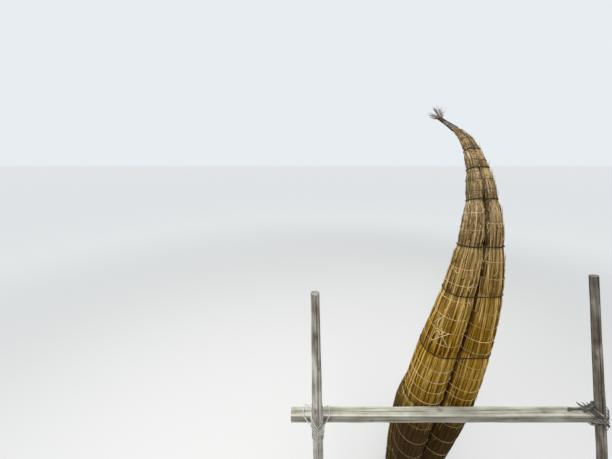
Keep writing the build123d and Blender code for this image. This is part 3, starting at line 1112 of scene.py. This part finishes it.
for name, radius, neck_from, neck_to, pitch, turn_start, tone, cord_finish in WHIP_CORDS:
    turns = np.arange(0.0, (neck_to - neck_from) / pitch, 1 / POINTS_A_TURN)
    stations = neck_from + turns * pitch + 0.0007 * np.sin(turns * 2.3)
    origin, _, deckward = spine_frame(stations)
    bow_radius = np.interp(stations, spine_s, hull_radius)
    flat, out = track_point(turns + turn_start, LOBE_SHARE * bow_radius, bow_radius + radius * 0.6)
    whip_line = origin + flat[:, :1] * ACROSS + flat[:, 1:] * deckward
    whipping = Strands(name)
    whipping.sweep(whip_line, radius, out[:, :1] * ACROSS + out[:, 1:] * deckward, tone)
    neck = whipping.finish(cord_finish, "dark_rope")
    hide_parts("bow_binding")

# %% [markdown]
# ## The tuft's finish
#
# The ends of the reeds are dry flower stems, greyer and darker than the boat, and no two are alike. Each
# stem's tone picks its place on one colour ramp, and noise along the stem adds spots.

# %% Mix the dry tips
def dry_stems(name, stops):
    """Dull stems, each of its own tone."""
    finish = Finish(name, 0.8, 0.5)
    along, tone = finish.field("along"), finish.field("tone")
    spots = finish.noise(finish.times(along, 70.0), finish.times(tone, 80.0))
    value = finish.plus(tone, finish.spread(spots, 0.3, 0.7, -0.25, 0.25))
    finish.bump(spots, 0.0003)
    print(name, "mixed")
    return finish.colour(finish.ramp(value, stops))


dry_tips = dry_stems("dry_tips", [
    (0.0, (0.035, 0.025, 0.016)),
    (0.5, (0.135, 0.102, 0.072)),
    (1.0, (0.380, 0.300, 0.215)),
])

# %% [markdown]
# ## The tuft
#
# Beyond the whipping the reeds' flower stems splay out like a worn brush, stuck together in a few clumps.
# Each stem is a thin strand that leaves the neck near its middle, bends away, and carries a few short
# side stems on its outer half. The clumps lean towards the hull side, as the wind has set them.

# %% Splay the tuft
TUFT_CLUMPS = [  # tilt across and towards the deck in degrees, length
    (-23, -6, 0.150),
    (-13, -27, 0.158),
    (-8, 6, 0.170),
    (-1, -12, 0.185),
    (6, -30, 0.140),
    (10, 3, 0.176),
    (18, -18, 0.160),
    (26, -4, 0.138),
]
CLUMP_STEMS = 12
STEM_POINTS, TWIG_POINTS = 9, 4
STEM_RADII, TWIG_RADII = (0.0022, 0.0005), (0.0010, 0.0003)  # at the root and the tip


def tuft_stem(tuft, dice, root, direction, length):
    """One bent stem with its side stems."""
    reach = np.linspace(0.0, 1.0, STEM_POINTS)[:, None]
    line = root + direction * length * reach + dice.normal(0.0, 0.035, 3) * length * reach**2.2
    tone = float(dice.uniform(0.05, 0.65))
    tuft.sweep(line, np.linspace(*STEM_RADII, STEM_POINTS), ACROSS, tone, BOW_END, sides=5)
    for _ in range(dice.integers(1, 4)):
        start = dice.integers(4, 8)
        way = direction + dice.normal(0.0, 0.30, 3)
        way /= np.linalg.norm(way)
        twig_reach = np.linspace(0, 1, TWIG_POINTS)[:, None]
        twig = line[start] + way * dice.uniform(0.010, 0.028) * twig_reach
        tuft.sweep(twig, np.linspace(*TWIG_RADII, TWIG_POINTS), ACROSS, tone, BOW_END, sides=4)


tuft = Strands("bow_tip_tuft")
dice = np.random.default_rng(71)
origin, forward, deckward = [part[0] for part in spine_frame(np.array([BOW_END]))]
for across_tilt, deck_tilt, length in TUFT_CLUMPS:
    clump_way = forward + ACROSS * math.tan(math.radians(across_tilt))
    clump_way = clump_way + deckward * math.tan(math.radians(deck_tilt))
    clump_way /= np.linalg.norm(clump_way)
    for _ in range(CLUMP_STEMS):
        direction = clump_way + dice.normal(0.0, 0.085, 3)
        root = origin - forward * 0.010 + (clump_way - forward) * 0.02 + dice.normal(0.0, 0.003, 3)
        tuft_stem(tuft, dice, root, direction, length * dice.uniform(0.42, 1.0))
bow_tips = tuft.finish(dry_tips, "reed_tips")
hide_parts("bow_tuft")

# %% [markdown]
# ## Weathered timber
#
# The posts are round poles and the rail is a squared one, all grey from sun and salt. The grain is noise
# stretched along the timber, fine and coarse together, with stains over it. Splits and the hearts of
# knots are dark, worn edges are paler, and the end grain has rings round the middle. The mesh says where
# each of these is, in numbers on its points.

# %% Mix the timber finishes
SPLIT_COLOUR = (0.030, 0.022, 0.015)
RING_WAVES = 2400.0  # radians a metre from the middle of the end grain


def weathered_wood(name, mottle, stops, end_stops):
    """Grey timber with stains as strong as mottle."""
    finish = Finish(name, 0.85, 0.25)
    along, around, split, ring, worn = [
        finish.field(f) for f in ("along", "around", "split", "ring", "worn")
    ]
    fine = finish.noise(finish.times(along, 5.0), finish.times(around, 420.0), 0.0, 4.0)
    coarse = finish.noise(finish.times(along, 2.2), finish.times(around, 70.0), 7.0, 3.0)
    stain = finish.noise(finish.times(along, 5.5), finish.times(around, 11.0), 3.0, 4.0)
    value = finish.spread(fine, 0.3, 0.7, -0.2, 0.2)
    value = finish.plus(value, finish.spread(coarse, 0.3, 0.7, 0.2, 0.8))
    value = finish.plus(value, finish.spread(stain, 0.35, 0.65, -mottle, mottle))
    value = finish.plus(value, finish.times(worn, 0.30))
    side = finish.mix(split, finish.ramp(value, stops), SPLIT_COLOUR)
    rings = finish.math("SINE", finish.times(ring, RING_WAVES))
    end = finish.ramp(finish.plus(finish.times(rings, 0.2), value), end_stops)
    is_end = finish.spread(ring, 0.0, 0.0005)
    finish.bump(finish.plus(fine, coarse), 0.0022)
    print(name, "mixed, mottle", mottle)
    return finish.colour(finish.mix(is_end, side, end))


rail_wood = weathered_wood("rail_wood", 0.20, [
    (0.0, (0.105, 0.090, 0.058)),
    (0.3, (0.195, 0.181, 0.132)),
    (0.6, (0.292, 0.286, 0.232)),
    (1.0, (0.430, 0.428, 0.370)),
], [(0.0, (0.13, 0.10, 0.06)), (1.0, (0.36, 0.31, 0.22))])
left_post_wood = weathered_wood("left_post_wood", 0.32, [
    (0.0, (0.085, 0.068, 0.050)),
    (0.3, (0.190, 0.163, 0.134)),
    (0.6, (0.320, 0.292, 0.252)),
    (1.0, (0.510, 0.480, 0.425)),
], [(0.0, (0.10, 0.085, 0.066)), (1.0, (0.26, 0.235, 0.20))])
# the right post's wood is a darker copy of the post wood: painted shade
right_post_painted_shade_wood = weathered_wood("right_post_painted_shade_wood", 0.30, [
    (0.0, (0.034, 0.025, 0.016)),
    (0.3, (0.083, 0.067, 0.050)),
    (0.6, (0.156, 0.133, 0.106)),
    (1.0, (0.310, 0.280, 0.245)),
], [(0.0, (0.06, 0.048, 0.036)), (1.0, (0.17, 0.148, 0.122))])

# %% [markdown]
# ## Splits, knots and unevenness
#
# A timber's surface is a grid of points, by their place along it and their angle round it. Splits, knots
# and swellings are then real changes of the surface, written as small functions of those two. A split is
# a narrow dip on a line that wanders, and fades at its ends. A knot, where a branch once grew, is a low
# swelling with a dark heart and rim. Old wood is never even, and a few waves of unlike lengths added
# together give that without a visible pattern.

# %% Write the surface helpers
SPLIT_WIDTH = 0.0016
SPLIT_FADE = 0.12
DARK_AT_DEPTH = 0.004
KNOT_STRETCH = 1.5  # knots are longer along the grain
UNEVEN_WAVES = 7


def away_round(angle, place, reach):
    """Distance round the timber from each point to an angle, for points that far from the axis."""
    return np.abs((angle - place + np.pi) % (2 * np.pi) - np.pi) * reach


def split_dips(along, angle, reach, splits):
    """How deep the splits (angle, from, to, depth) are at each point."""
    dip = np.zeros_like(along)
    for number, (place, first, last, depth) in enumerate(splits):
        wander = place + 0.10 * np.sin(along * 2.1 + number) + 0.03 * np.sin(along * 9.7 + 2 * number)
        away = away_round(angle, wander, reach)
        starts = ramp_in(along, first, first + SPLIT_FADE)
        inside = starts * (1 - ramp_in(along, last - SPLIT_FADE, last))
        dip = np.maximum(dip, inside * depth * np.exp(-((away / SPLIT_WIDTH) ** 2)))
    return dip


def add_knots(dip, dark, along, angle, reach, knots):
    """The dips and the dark places, with the knots (angle, place along, size) added."""
    for place, height, size in knots:
        away = away_round(angle, place, reach)
        spread = np.hypot(away, (along - height) / KNOT_STRETCH) / size
        dip = dip - 0.25 * size * np.exp(-(spread**2))
        heart = 0.85 * np.exp(-((2.2 * spread) ** 2))
        rim = 0.35 * np.exp(-(((spread - 1) / 0.3) ** 2))
        dark = np.maximum(dark, heart + rim)
    return dip, dark


def unevenness(along, angle, size, seed):
    """Soft swellings from a few waves that never repeat together."""
    dice = np.random.default_rng(seed)
    total = np.zeros_like(along)
    for _ in range(UNEVEN_WAVES):
        turns, waves, shift = dice.integers(1, 6), dice.uniform(1.5, 22.0), dice.uniform(0, ANY_PHASE)
        total += np.sin(turns * angle + waves * along + shift) / UNEVEN_WAVES**0.5
    return total * size


trial_along, trial_angle = np.meshgrid(np.linspace(0, 2, 50), np.linspace(0, 6, 50), indexing="ij")
print("unevenness of size 1 reaches", np.abs(unevenness(trial_along, trial_angle, 1.0, 1)).max().round(2))

# %% [markdown]
# ## A helper for timbers
#
# The timber helper takes an outline function, which gives x and y square to the axis for every place
# along and round, a list of splits and a list of knots. It closes both ends with rings of points that
# shrink towards the middle, so that the end grain has something to follow.

# %% Write the timber helper
END_RINGS = 9
END_MARK = 0.001  # added to a ring's radius, so that the material knows end grain from the sides
WORN_FROM, WORN_OVER = 1.18, 0.2  # of a point's distance from the axis over the least one


def end_grain(rim, middle, flip, points, fields):
    """Rings of faces that close one end of a timber. Its points and numbers go at the end of the lists."""
    first = sum(len(block) for block in points)
    columns = len(rim)
    for share in np.linspace(1.0, 0.02, END_RINGS):
        block = middle + (rim - middle) * share
        points.append(block)
        fields["along"].append(np.zeros(columns))
        fields["around"].append(np.linspace(0, 0.2, columns))
        fields["split"].append(np.zeros(columns))
        fields["worn"].append(np.zeros(columns))
        fields["ring"].append(np.linalg.norm(block - middle, axis=1) + END_MARK)
    quads = grid_faces(END_RINGS, columns, first)
    faces = quads if flip else quads[:, ::-1]
    centre = [first + (END_RINGS - 1) * columns + c for c in range(columns - 1)]
    return faces.tolist() + [centre if flip else centre[::-1]]


def carve_timber(name, start, end, up, outline, splits, knots, columns, rows, material):
    """A timber from start to end. outline(along, angle) gives x and y, and up is where its y points."""
    start, end = np.array(start), np.array(end)
    length = np.linalg.norm(end - start)
    forward = (end - start) / length
    x_way = np.cross(up, forward)
    x_way /= np.linalg.norm(x_way)
    y_way = np.cross(forward, x_way)
    places, turn = np.linspace(0, length, rows), np.linspace(0, 2 * np.pi, columns)
    along, angle = np.meshgrid(places, turn, indexing="ij")
    x, y = outline(along, angle)
    reach = np.hypot(x, y)
    dip = split_dips(along, angle, reach, splits)
    dip, dark = add_knots(dip, np.clip(dip / DARK_AT_DEPTH, 0, 1), along, angle, reach, knots)
    shrink = 1 - dip / reach
    body = start + along[..., None] * forward
    body = body + (x * shrink)[..., None] * x_way + (y * shrink)[..., None] * y_way
    points = [body.reshape(-1, 3)]
    fields = {
        "along": [along.ravel()],
        "around": [(angle * reach.mean()).ravel()],
        "split": [dark.ravel()],
        "ring": [np.zeros(x.size)],
        "worn": [np.clip((reach / reach.min() - WORN_FROM) / WORN_OVER, 0, 1).ravel()],
    }
    faces = grid_faces(rows, columns).tolist()
    for row, flip in ((0, True), (rows - 1, False)):
        faces += end_grain(body[row], start + along[row, 0] * forward, flip, points, fields)
    return mesh_piece(name, points, faces, fields, material)


print("each timber's end has", END_RINGS, "rings of points")

# %% [markdown]
# ## The rail
#
# The rail is 74 mm square with worn edges. A squared outline with soft corners is a circle raised to a
# high power, a superellipse. Worn edges bleach, so the material reads how far a point lies from the axis.

# %% Make the rail
RAIL_HEIGHT = 1.430
RAIL_HALF = 0.037
RAIL_SQUARENESS = 15.0
RAIL_SHRINK = 0.985  # room for the swellings inside the solid rail
RAIL_END_GAP = 0.004  # from its right end to the end of the solid rail's box
RAIL_SPLITS = [  # angle, from, to, depth
    (3.30, 0.05, 1.35, 0.007),
    (4.60, 0.90, 2.30, 0.004),
    (3.00, 1.50, 2.36, 0.006),
    (0.20, 0.30, 1.90, 0.004),
    (1.70, 0.00, 1.10, 0.005),
    (1.40, 1.20, 2.30, 0.004),
]
RAIL_KNOTS = [  # angle, place along, size
    (3.40, 0.62, 0.011),
    (1.45, 1.15, 0.013),
    (3.00, 1.72, 0.010),
    (1.80, 1.95, 0.009),
]

rail_low, rail_high = [Vector(corner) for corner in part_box("rack_rail")]
rail_y = (rail_low.y + rail_high.y) / 2
rail_start = (rail_low.x, rail_y, RAIL_HEIGHT)
rail_end = (rail_high.x - RAIL_END_GAP, rail_y, RAIL_HEIGHT)


def squared(along, angle):
    """A hewn square section that swells a little."""
    corners = np.abs(np.cos(angle)) ** RAIL_SQUARENESS + np.abs(np.sin(angle)) ** RAIL_SQUARENESS
    reach = corners ** (-1 / RAIL_SQUARENESS)
    size = RAIL_HALF * RAIL_SHRINK + unevenness(along, angle, 0.0006, 81)
    return reach * size * np.cos(angle), reach * size * np.sin(angle)


rail = carve_timber(
    "rail_timber", rail_start, rail_end, (0, 0, 1), squared, RAIL_SPLITS, RAIL_KNOTS,
    columns=165, rows=160, material=rail_wood,
)
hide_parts("rack_rail")
print("rail from", rail_start, "to", rail_end)

# %% [markdown]
# ## The posts
#
# Both posts are thin trunks that lean a little. The left one stands before the rail, and the rail butts
# against the right one. Each axis passes the rail's height at a known place, and its lean gives both
# ends. Trunks taper, and these get slimmer still above the rail. Their feet are cut level on the ground.

# %% Make the posts
POST_TOP = 2.540
POST_TAPER = 0.0025  # of radius for each metre
POST_RADIUS = {"left": 0.038, "right": 0.029}  # at the rail
POST_SLIMMER_TOP = {"left": 0.008, "right": 0.002}
RACK_GAP = 0.0003
LEFT_POST_Y = rail_y - RAIL_HALF - RACK_GAP - POST_RADIUS["left"]
POST_AT_RAIL = {
    "left": np.array([BOAT_MIDDLE.x - 1.047, LEFT_POST_Y, RAIL_HEIGHT]),
    "right": np.array([BOAT_MIDDLE.x + 1.156, rail_y, RAIL_HEIGHT]),
}
POST_WAY = {  # the way its axis goes for every metre up, from its lean in degrees
    "left": np.array([-math.tan(math.radians(1.6)), 0.0, 1.0]),
    "right": np.array([-math.tan(math.radians(12.0)), math.tan(math.radians(8.0)), 1.0]),
}
POST_SPLITS = {  # angle, from, to, depth
    "left": [
        (0.4, 0.0, 2.2, 0.006),
        (1.9, 0.8, 2.54, 0.007),
        (3.4, 0.1, 1.9, 0.005),
        (4.9, 0.3, 2.54, 0.007),
    ],
    "right": [(0.8, 0.0, 1.7, 0.005), (2.6, 0.6, 2.5, 0.006), (4.4, 0.0, 2.4, 0.006)],
}
POST_KNOTS = {  # angle, place along, size
    "left": [
        (4.3, 1.62, 0.012),
        (5.2, 1.98, 0.010),
        (4.7, 2.25, 0.013),
        (3.9, 1.20, 0.012),
        (1.2, 1.8, 0.012),
    ],
    "right": [(4.1, 1.70, 0.009), (3.6, 1.98, 0.008), (4.9, 1.22, 0.010), (1.6, 1.5, 0.010)],
}
POST_SEED = {"left": 87, "right": 88}


def pole(radius, slimmer, seed):
    """A round pole with a few swellings, slimmer by that much more at its top."""
    def outline(along, angle):
        size = radius - POST_TAPER * along - slimmer * ramp_in(along, RAIL_HEIGHT, POST_TOP)
        size += unevenness(along, angle, 0.0008, seed)
        return size * np.cos(angle), size * np.sin(angle)
    return outline


for side, material in (("left", left_post_wood), ("right", right_post_painted_shade_wood)):
    way = POST_WAY[side]
    foot = POST_AT_RAIL[side] - way * RAIL_HEIGHT
    top = POST_AT_RAIL[side] + way * (POST_TOP - RAIL_HEIGHT)
    foot_radius = POST_RADIUS[side] + RAIL_HEIGHT * np.linalg.norm(way) * POST_TAPER
    outline = pole(foot_radius, POST_SLIMMER_TOP[side], POST_SEED[side])
    post = carve_timber(
        f"{side}_pole", foot, top, (0, 1, 0), outline, POST_SPLITS[side], POST_KNOTS[side],
        columns=121, rows=155, material=material,
    )
    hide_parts(f"rack_{side}_post")

# %% [markdown]
# ## A turn round the rail and its post
#
# Cord ties the rail to its posts in slanting turns that cross. Each turn is a tight loop again, now on a
# slanted plane: there the post's section is an ellipse, held by small circles on its rim, and the rail is
# four more circles on its worn edges. On the right the rail ends at the post, so the turn goes over the
# rail on one side only.

# %% Slant a turn round the joint
CORD_RADIUS = 0.0040
CORD_PITCH = 0.0170  # from one turn to the next
CORD_TWIST = 0.021
CORD_STEP = 0.003
EDGE = 0.005  # radius of the rail's worn edges
END_OVER_POST = 0.016


def slanted_turn(side, slant, shift, standoff):
    """A closed turn round rail and post, on a plane that slants by that many degrees, and its normal."""
    post_x, post_y, _ = POST_AT_RAIL[side]
    radius, rail_passes = POST_RADIUS[side], side == "left"
    slope = math.radians(slant)
    joint_x = post_x if rail_passes else post_x - radius
    x_way = np.array([math.cos(slope), 0.0, math.sin(slope)])
    normal = np.array([-math.sin(slope), 0.0, math.cos(slope)])
    offset = np.array([post_x - joint_x, post_y - rail_y, 0.0])
    axis = POST_WAY[side] / np.linalg.norm(POST_WAY[side])
    facing = float(axis @ normal)
    met = offset + axis * ((shift - float(offset @ normal)) / facing)
    circles = [
        (float(met @ x_way) + radius / facing * math.cos(a), met[1] + radius * math.sin(a), standoff)
        for a in np.linspace(0.0, 2 * np.pi, 24, endpoint=False)
    ]
    middle = -shift / math.tan(slope)
    half = (RAIL_HALF + standoff) / abs(math.sin(slope)) - EDGE - standoff
    last = middle + half if rail_passes else shift * math.tan(slope) + END_OVER_POST
    for end in (middle - half, last):
        for face in (-1, 1):
            circles.append((end, face * (RAIL_HALF - EDGE), EDGE + standoff))
    flat = tight_loop(circles, CORD_STEP)
    base = np.array([joint_x, rail_y, RAIL_HEIGHT]) + normal * shift
    return base + flat[:, :1] * x_way + flat[:, 1:] * np.array([0.0, 1.0, 0.0]), normal


trial_turn, _ = slanted_turn("left", 45.0, 0.0, CORD_RADIUS)
print("a turn round the left joint is about", round(lengths_along(trial_turn)[-1], 2), "m long")

# %% [markdown]
# ## Turns round one piece alone
#
# The right lashing also has turns round the rail's end alone, side by side and leaning a little to either
# side. Where a cord starts or runs down, it goes round a post alone, as an open helix that follows the
# post's lean.

# %% Wind round the rail's end or a post
FIRST_END_TURN, END_TURN_PITCH = 2.2, 2.1  # in cord radii, from the post's side
POST_CLEARANCE = 0.0006
DEGREES_A_POINT = 8


def rail_end_turn(side, turn, lean):
    """A closed turn round the rail alone, the given number of turns from the post, leaning by degrees."""
    slope = math.tan(math.radians(lean))
    place = -POST_RADIUS[side] - CORD_RADIUS * (FIRST_END_TURN + END_TURN_PITCH * turn)
    corner = RAIL_HALF - EDGE
    circles = [(y * corner, z * corner, EDGE + CORD_RADIUS) for y in (-1, 1) for z in (-1, 1)]
    flat = tight_loop(circles, CORD_STEP)
    offsets = np.stack([place + slope * flat[:, 1] * 0.5, flat[:, 0], flat[:, 1]], axis=-1)
    return POST_AT_RAIL[side] + offsets


def round_post(side, rise, angles, radius, layer=0):
    """A line round a post: rises over the rail's middle, and angles, at its start and end in degrees."""
    count = max(12, int(abs(angles[1] - angles[0]) / DEGREES_A_POINT))
    angle = np.radians(np.linspace(*angles, count))
    reach = POST_RADIUS[side] + radius * (1 + 2 * layer) + POST_CLEARANCE
    height = np.linspace(*rise, count)
    out = np.stack([np.cos(angle), np.sin(angle), 0 * angle], axis=-1)
    return POST_AT_RAIL[side] + height[:, None] * POST_WAY[side] + out * reach, out


trial_line, _ = round_post("left", (0.0, 0.0), (0, 360), CORD_RADIUS)
print("once round the left post is", round(lengths_along(trial_line)[-1], 2), "m")

# %% [markdown]
# ## The rail's lashings
#
# At each post three turns slant one way, and three more slant the other way over them. On the left they
# are grey cord. On the right they are old dark rope, over eight turns round the rail's end.

# %% Tie the rail to the posts
def tie_rail(side, material, slants, seed, end_turns=0):
    """The crossing turns of one joint, over any turns round the rail's end, in a range of slants."""
    dice = np.random.default_rng(seed)
    cord = Strands(f"{side}_joint_cord")
    for turn in range(end_turns):
        line = rail_end_turn(side, turn, dice.normal(0.0, 9.0))
        tone = float(dice.uniform(0.2, 0.6))
        twist_rope(cord, line, ACROSS, CORD_RADIUS, CORD_TWIST, tone=tone, sides=5)
    for layer, way in enumerate((1.0, -1.0), 1 if end_turns else 0):
        for turn, slant in enumerate(np.linspace(*slants, 3), -1):
            standoff = CORD_RADIUS * (1 + 2 * layer) + RACK_GAP
            lean = way * (slant + dice.normal(0, 1.0))
            line, normal = slanted_turn(side, lean, turn * CORD_PITCH, standoff)
            tone = float(dice.uniform(0.0, 1.0))
            twist_rope(cord, line, normal, CORD_RADIUS, CORD_TWIST, tone=tone, sides=5)
    made = cord.finish(material, "pale_cord")
    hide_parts(f"{side}_rail_lashing")


tie_rail("left", grey_cord, (32.0, 56.0), 94)
tie_rail("right", old_rope, (34.0, 44.0), 92, end_turns=8)

# %% [markdown]
# ## Where the left lashing starts
#
# A lashing has a beginning. On the left, the cord starts with three turns round the post alone, below the
# rail. They are open helices, each a little steeper or flatter than the one above it.

# %% Add the turns round the left post
LEFT_TURNS = [  # rise over the rail's middle and angle in degrees, each from and to
    ((-0.096, -0.108), (120, 470)),
    ((-0.104, -0.116), (150, 510)),
    ((-0.118, -0.109), (180, 550)),
]
left_start = Strands("left_post_turns")
for number, (rise, angles) in enumerate(LEFT_TURNS):
    line, out = round_post("left", rise, angles, CORD_RADIUS)
    twist_rope(left_start, line, out, CORD_RADIUS, CORD_TWIST, closed=False, tone=0.3 + 0.15 * number)
left_start.finish(grey_cord, "pale_cord")

# %% [markdown]
# ## The pale turns on the right
#
# On the right, three thinner pale turns go from the rail's front round the far side of the post to the
# rail's back. Seen from above they all follow one given line, and each sags a little on its way.

# %% Add the pale turns on the right
PALE_TURN = [  # across and deckward of the post's axis, seen from above
    (-0.105, -0.045), (-0.060, -0.053), (-0.015, -0.055), (0.022, -0.046), (0.043, -0.018),
    (0.044, 0.018), (0.018, 0.048), (-0.030, 0.052), (-0.070, 0.046),
]
PALE_LEVELS = [  # height over the rail's middle at the start and the end, and sag
    (0.022, 0.012, 0.014),
    (0.004, 0.018, 0.018),
    (-0.012, 0.000, 0.012),
]
PALE_CORD_RADIUS, PALE_CORD_TWIST = 0.0032, 0.018
right_start = Strands("right_post_turns")
for number, (first_level, last_level, sag) in enumerate(PALE_LEVELS):
    sagging = sag * np.sin(np.linspace(0, np.pi, len(PALE_TURN)))
    level = np.linspace(first_level, last_level, len(PALE_TURN)) - sagging
    path = soft_line([(x, y, z) for (x, y), z in zip(PALE_TURN, level)], count=60, passes=12)
    line, tone = path + POST_AT_RAIL["right"], 0.75 + 0.1 * number
    twist_rope(
        right_start, line, (0.0, 0.0, 1.0), PALE_CORD_RADIUS, PALE_CORD_TWIST, closed=False, tone=tone,
    )
right_start.finish(grey_cord, "pale_cord")

# %% [markdown]
# ## The old rope on the right
#
# Three thick ends of old dark rope lie along the top of the rail and go round behind the post, and thin
# dark cord goes round the post: one piece runs down it, and two lie above the rail.

# %% Lay the old rope
OLD_ROPES = [  # along the rail from the post, towards the post's back, over the rail's top, for each place
    [
        (-0.265, -0.002, 0.0075), (-0.200, 0.012, 0.0085), (-0.130, 0.004, 0.016),
        (-0.070, 0.016, 0.026), (-0.030, 0.050, 0.030),
    ],
    [
        (-0.245, 0.016, 0.0075), (-0.180, 0.002, 0.014), (-0.120, 0.018, 0.015),
        (-0.060, 0.030, 0.022), (-0.020, 0.052, 0.012),
    ],
    [
        (-0.155, -0.012, 0.0075), (-0.110, 0.000, 0.020), (-0.070, 0.008, 0.030),
        (-0.045, 0.034, 0.038), (-0.010, 0.050, 0.030),
    ],
]
THIN_TURNS = [  # rise over the rail's middle and angle in degrees, each from and to
    ((0.010, -0.135), (222, 352)),
    ((0.070, 0.052), (35, 250)),
    ((0.060, 0.066), (20, 230)),
]
THICK_RADIUS, THICK_TWIST = 0.0068, 0.034
THIN_RADIUS, THIN_TWIST = 0.0026, 0.016
old_ends = Strands("right_joint_old_rope")
for places in OLD_ROPES:
    path = soft_line([(x, y, z + RAIL_HALF) for x, y, z in places], count=60, passes=30)
    line = path + POST_AT_RAIL["right"]
    twist_rope(old_ends, line, (0.0, 0.0, 1.0), THICK_RADIUS, THICK_TWIST, closed=False, tone=0.3)
for rise, angles in THIN_TURNS:
    line, out = round_post("right", rise, angles, THIN_RADIUS, 1)
    twist_rope(old_ends, line, out, THIN_RADIUS, THIN_TWIST, closed=False, tone=0.3)
old_ends.finish(old_rope, "pale_cord")

# %% [markdown]
# ## The floor
#
# The object stands on a plain pale floor that keeps its shadow. A floor that is pale enough to look white
# would throw much light back on the boat. So its own colour is darker, and a glow is added that gets
# stronger with distance and that only the camera's rays see, and rays off gloss or through glass, so that
# they all see one background. The Light Path node tells which ray asks.

# %% Lay the floor
FLOOR_REACH = 900.0
FLOOR_DEPTH = 0.0005  # under the ground's level, clear of the timber's feet
FLOOR_COLOUR = (0.42, 0.415, 0.40, 1.0)
GLOW_COLOUR = (0.80, 0.83, 0.85, 1.0)
GLOW_DISTANCES = (2.0, 14.0)
GLOW_STRENGTHS = (0.27, 0.66)


def background_rays(tree):
    """1 for the camera's rays and for rays off gloss or through glass, and otherwise 0."""
    path = tree.nodes.new("ShaderNodeLightPath")
    share = path.outputs["Is Camera Ray"]
    for kind in ("Is Glossy Ray", "Is Transmission Ray"):
        larger = tree.nodes.new("ShaderNodeMath")
        larger.operation = "MAXIMUM"
        tree.links.new(share, larger.inputs[0])
        tree.links.new(path.outputs[kind], larger.inputs[1])
        share = larger.outputs[0]
    return share


floor_finish = Finish("studio_floor", 0.9, 0.1)
place = floor_finish.node("NewGeometry").outputs["Position"]
distance = floor_finish.node("VectorMath", place, operation="LENGTH").outputs["Value"]
glow = floor_finish.node(
    "MapRange", distance, *GLOW_DISTANCES, *GLOW_STRENGTHS, interpolation_type="SMOOTHSTEP",
).outputs[0]
glow_seen = floor_finish.times(background_rays(floor_finish.tree), glow)
floor_finish.put(floor_finish.shader.inputs["Emission Color"], GLOW_COLOUR)
floor_finish.put(floor_finish.shader.inputs["Emission Strength"], glow_seen)

floor_mesh = bpy.data.meshes.new("studio_floor")
corners = [(-1, -1), (1, -1), (1, 1), (-1, 1)]
floor_points = [(x * FLOOR_REACH, y * FLOOR_REACH, -FLOOR_DEPTH) for x, y in corners]
floor_mesh.from_pydata(floor_points, [], [(0, 1, 2, 3)])
floor_mesh.materials.append(floor_finish.colour(FLOOR_COLOUR))
floor = bpy.data.objects.new("studio_floor", floor_mesh)
bpy.context.collection.objects.link(floor)
print("floor reaches", FLOOR_REACH, "m to each side")

# %% [markdown]
# ## The world
#
# The world gives soft light from all round at half strength, a little blue. The rays that see the
# background get another, paler shader at full strength, and a Mix Shader chooses between the two.

# %% Set the world
WORLD_LIGHT = ((0.92, 0.96, 1.0, 1.0), 0.50)
WORLD_SEEN = ((0.80, 0.85, 0.88, 1.0), 1.0)

world = bpy.data.worlds.new("studio_world")
world.use_nodes = True
bpy.context.scene.world = world
world_tree = world.node_tree
light = world_tree.nodes["Background"]
seen = world_tree.nodes.new("ShaderNodeBackground")
for shader, (colour, strength) in ((light, WORLD_LIGHT), (seen, WORLD_SEEN)):
    shader.inputs["Color"].default_value = colour
    shader.inputs["Strength"].default_value = strength
chosen = world_tree.nodes.new("ShaderNodeMixShader")
world_tree.links.new(background_rays(world_tree), chosen.inputs[0])
world_tree.links.new(light.outputs[0], chosen.inputs[1])
world_tree.links.new(seen.outputs[0], chosen.inputs[2])
world_tree.links.new(chosen.outputs[0], world_tree.nodes["World Output"].inputs["Surface"])
print("world gives light at", WORLD_LIGHT[1])

# %% [markdown]
# ## The lamps
#
# Four large area lamps shape the boat: a wide one overhead as the sky, a key from the camera's left, one
# behind, and one on the starboard side that lights the flank and the deck bundles. A large lamp gives
# soft shadow edges. An area lamp shines along its own -Z, so a track quaternion turns that to its aim.

# %% Hang the lamps
LAMPS = [  # name, place, aim, size in metres, power in watts
    ("sky_lamp", (-0.8, -1.2, 8.0), (0.0, 0.0, 1.5), 6.0, 560.0),
    ("key_lamp", (-3.5, -3.5, 5.5), (0.0, 0.0, 2.0), 3.0, 170.0),
    ("back_lamp", (2.5, 4.5, 5.0), (0.0, 0.0, 2.0), 3.0, 90.0),
    ("side_lamp", (-4.5, 1.5, 5.5), (0.0, 0.0, 1.5), 4.0, 80.0),
]
for name, place, aim, size, power in LAMPS:
    lamp_data = bpy.data.lights.new(name, "AREA")
    lamp_data.size = size
    lamp_data.energy = power
    lamp = bpy.data.objects.new(name, lamp_data)
    lamp.location = place
    lamp.rotation_euler = (Vector(aim) - Vector(place)).to_track_quat("-Z", "Y").to_euler()
    bpy.context.collection.objects.link(lamp)
    print(name, "at", place, "with", power, "W")

# %% [markdown]
# ## The last step
#
# The Standard view shows colours as they are written.

# %% Set the view
bpy.context.scene.view_settings.view_transform = "Standard"
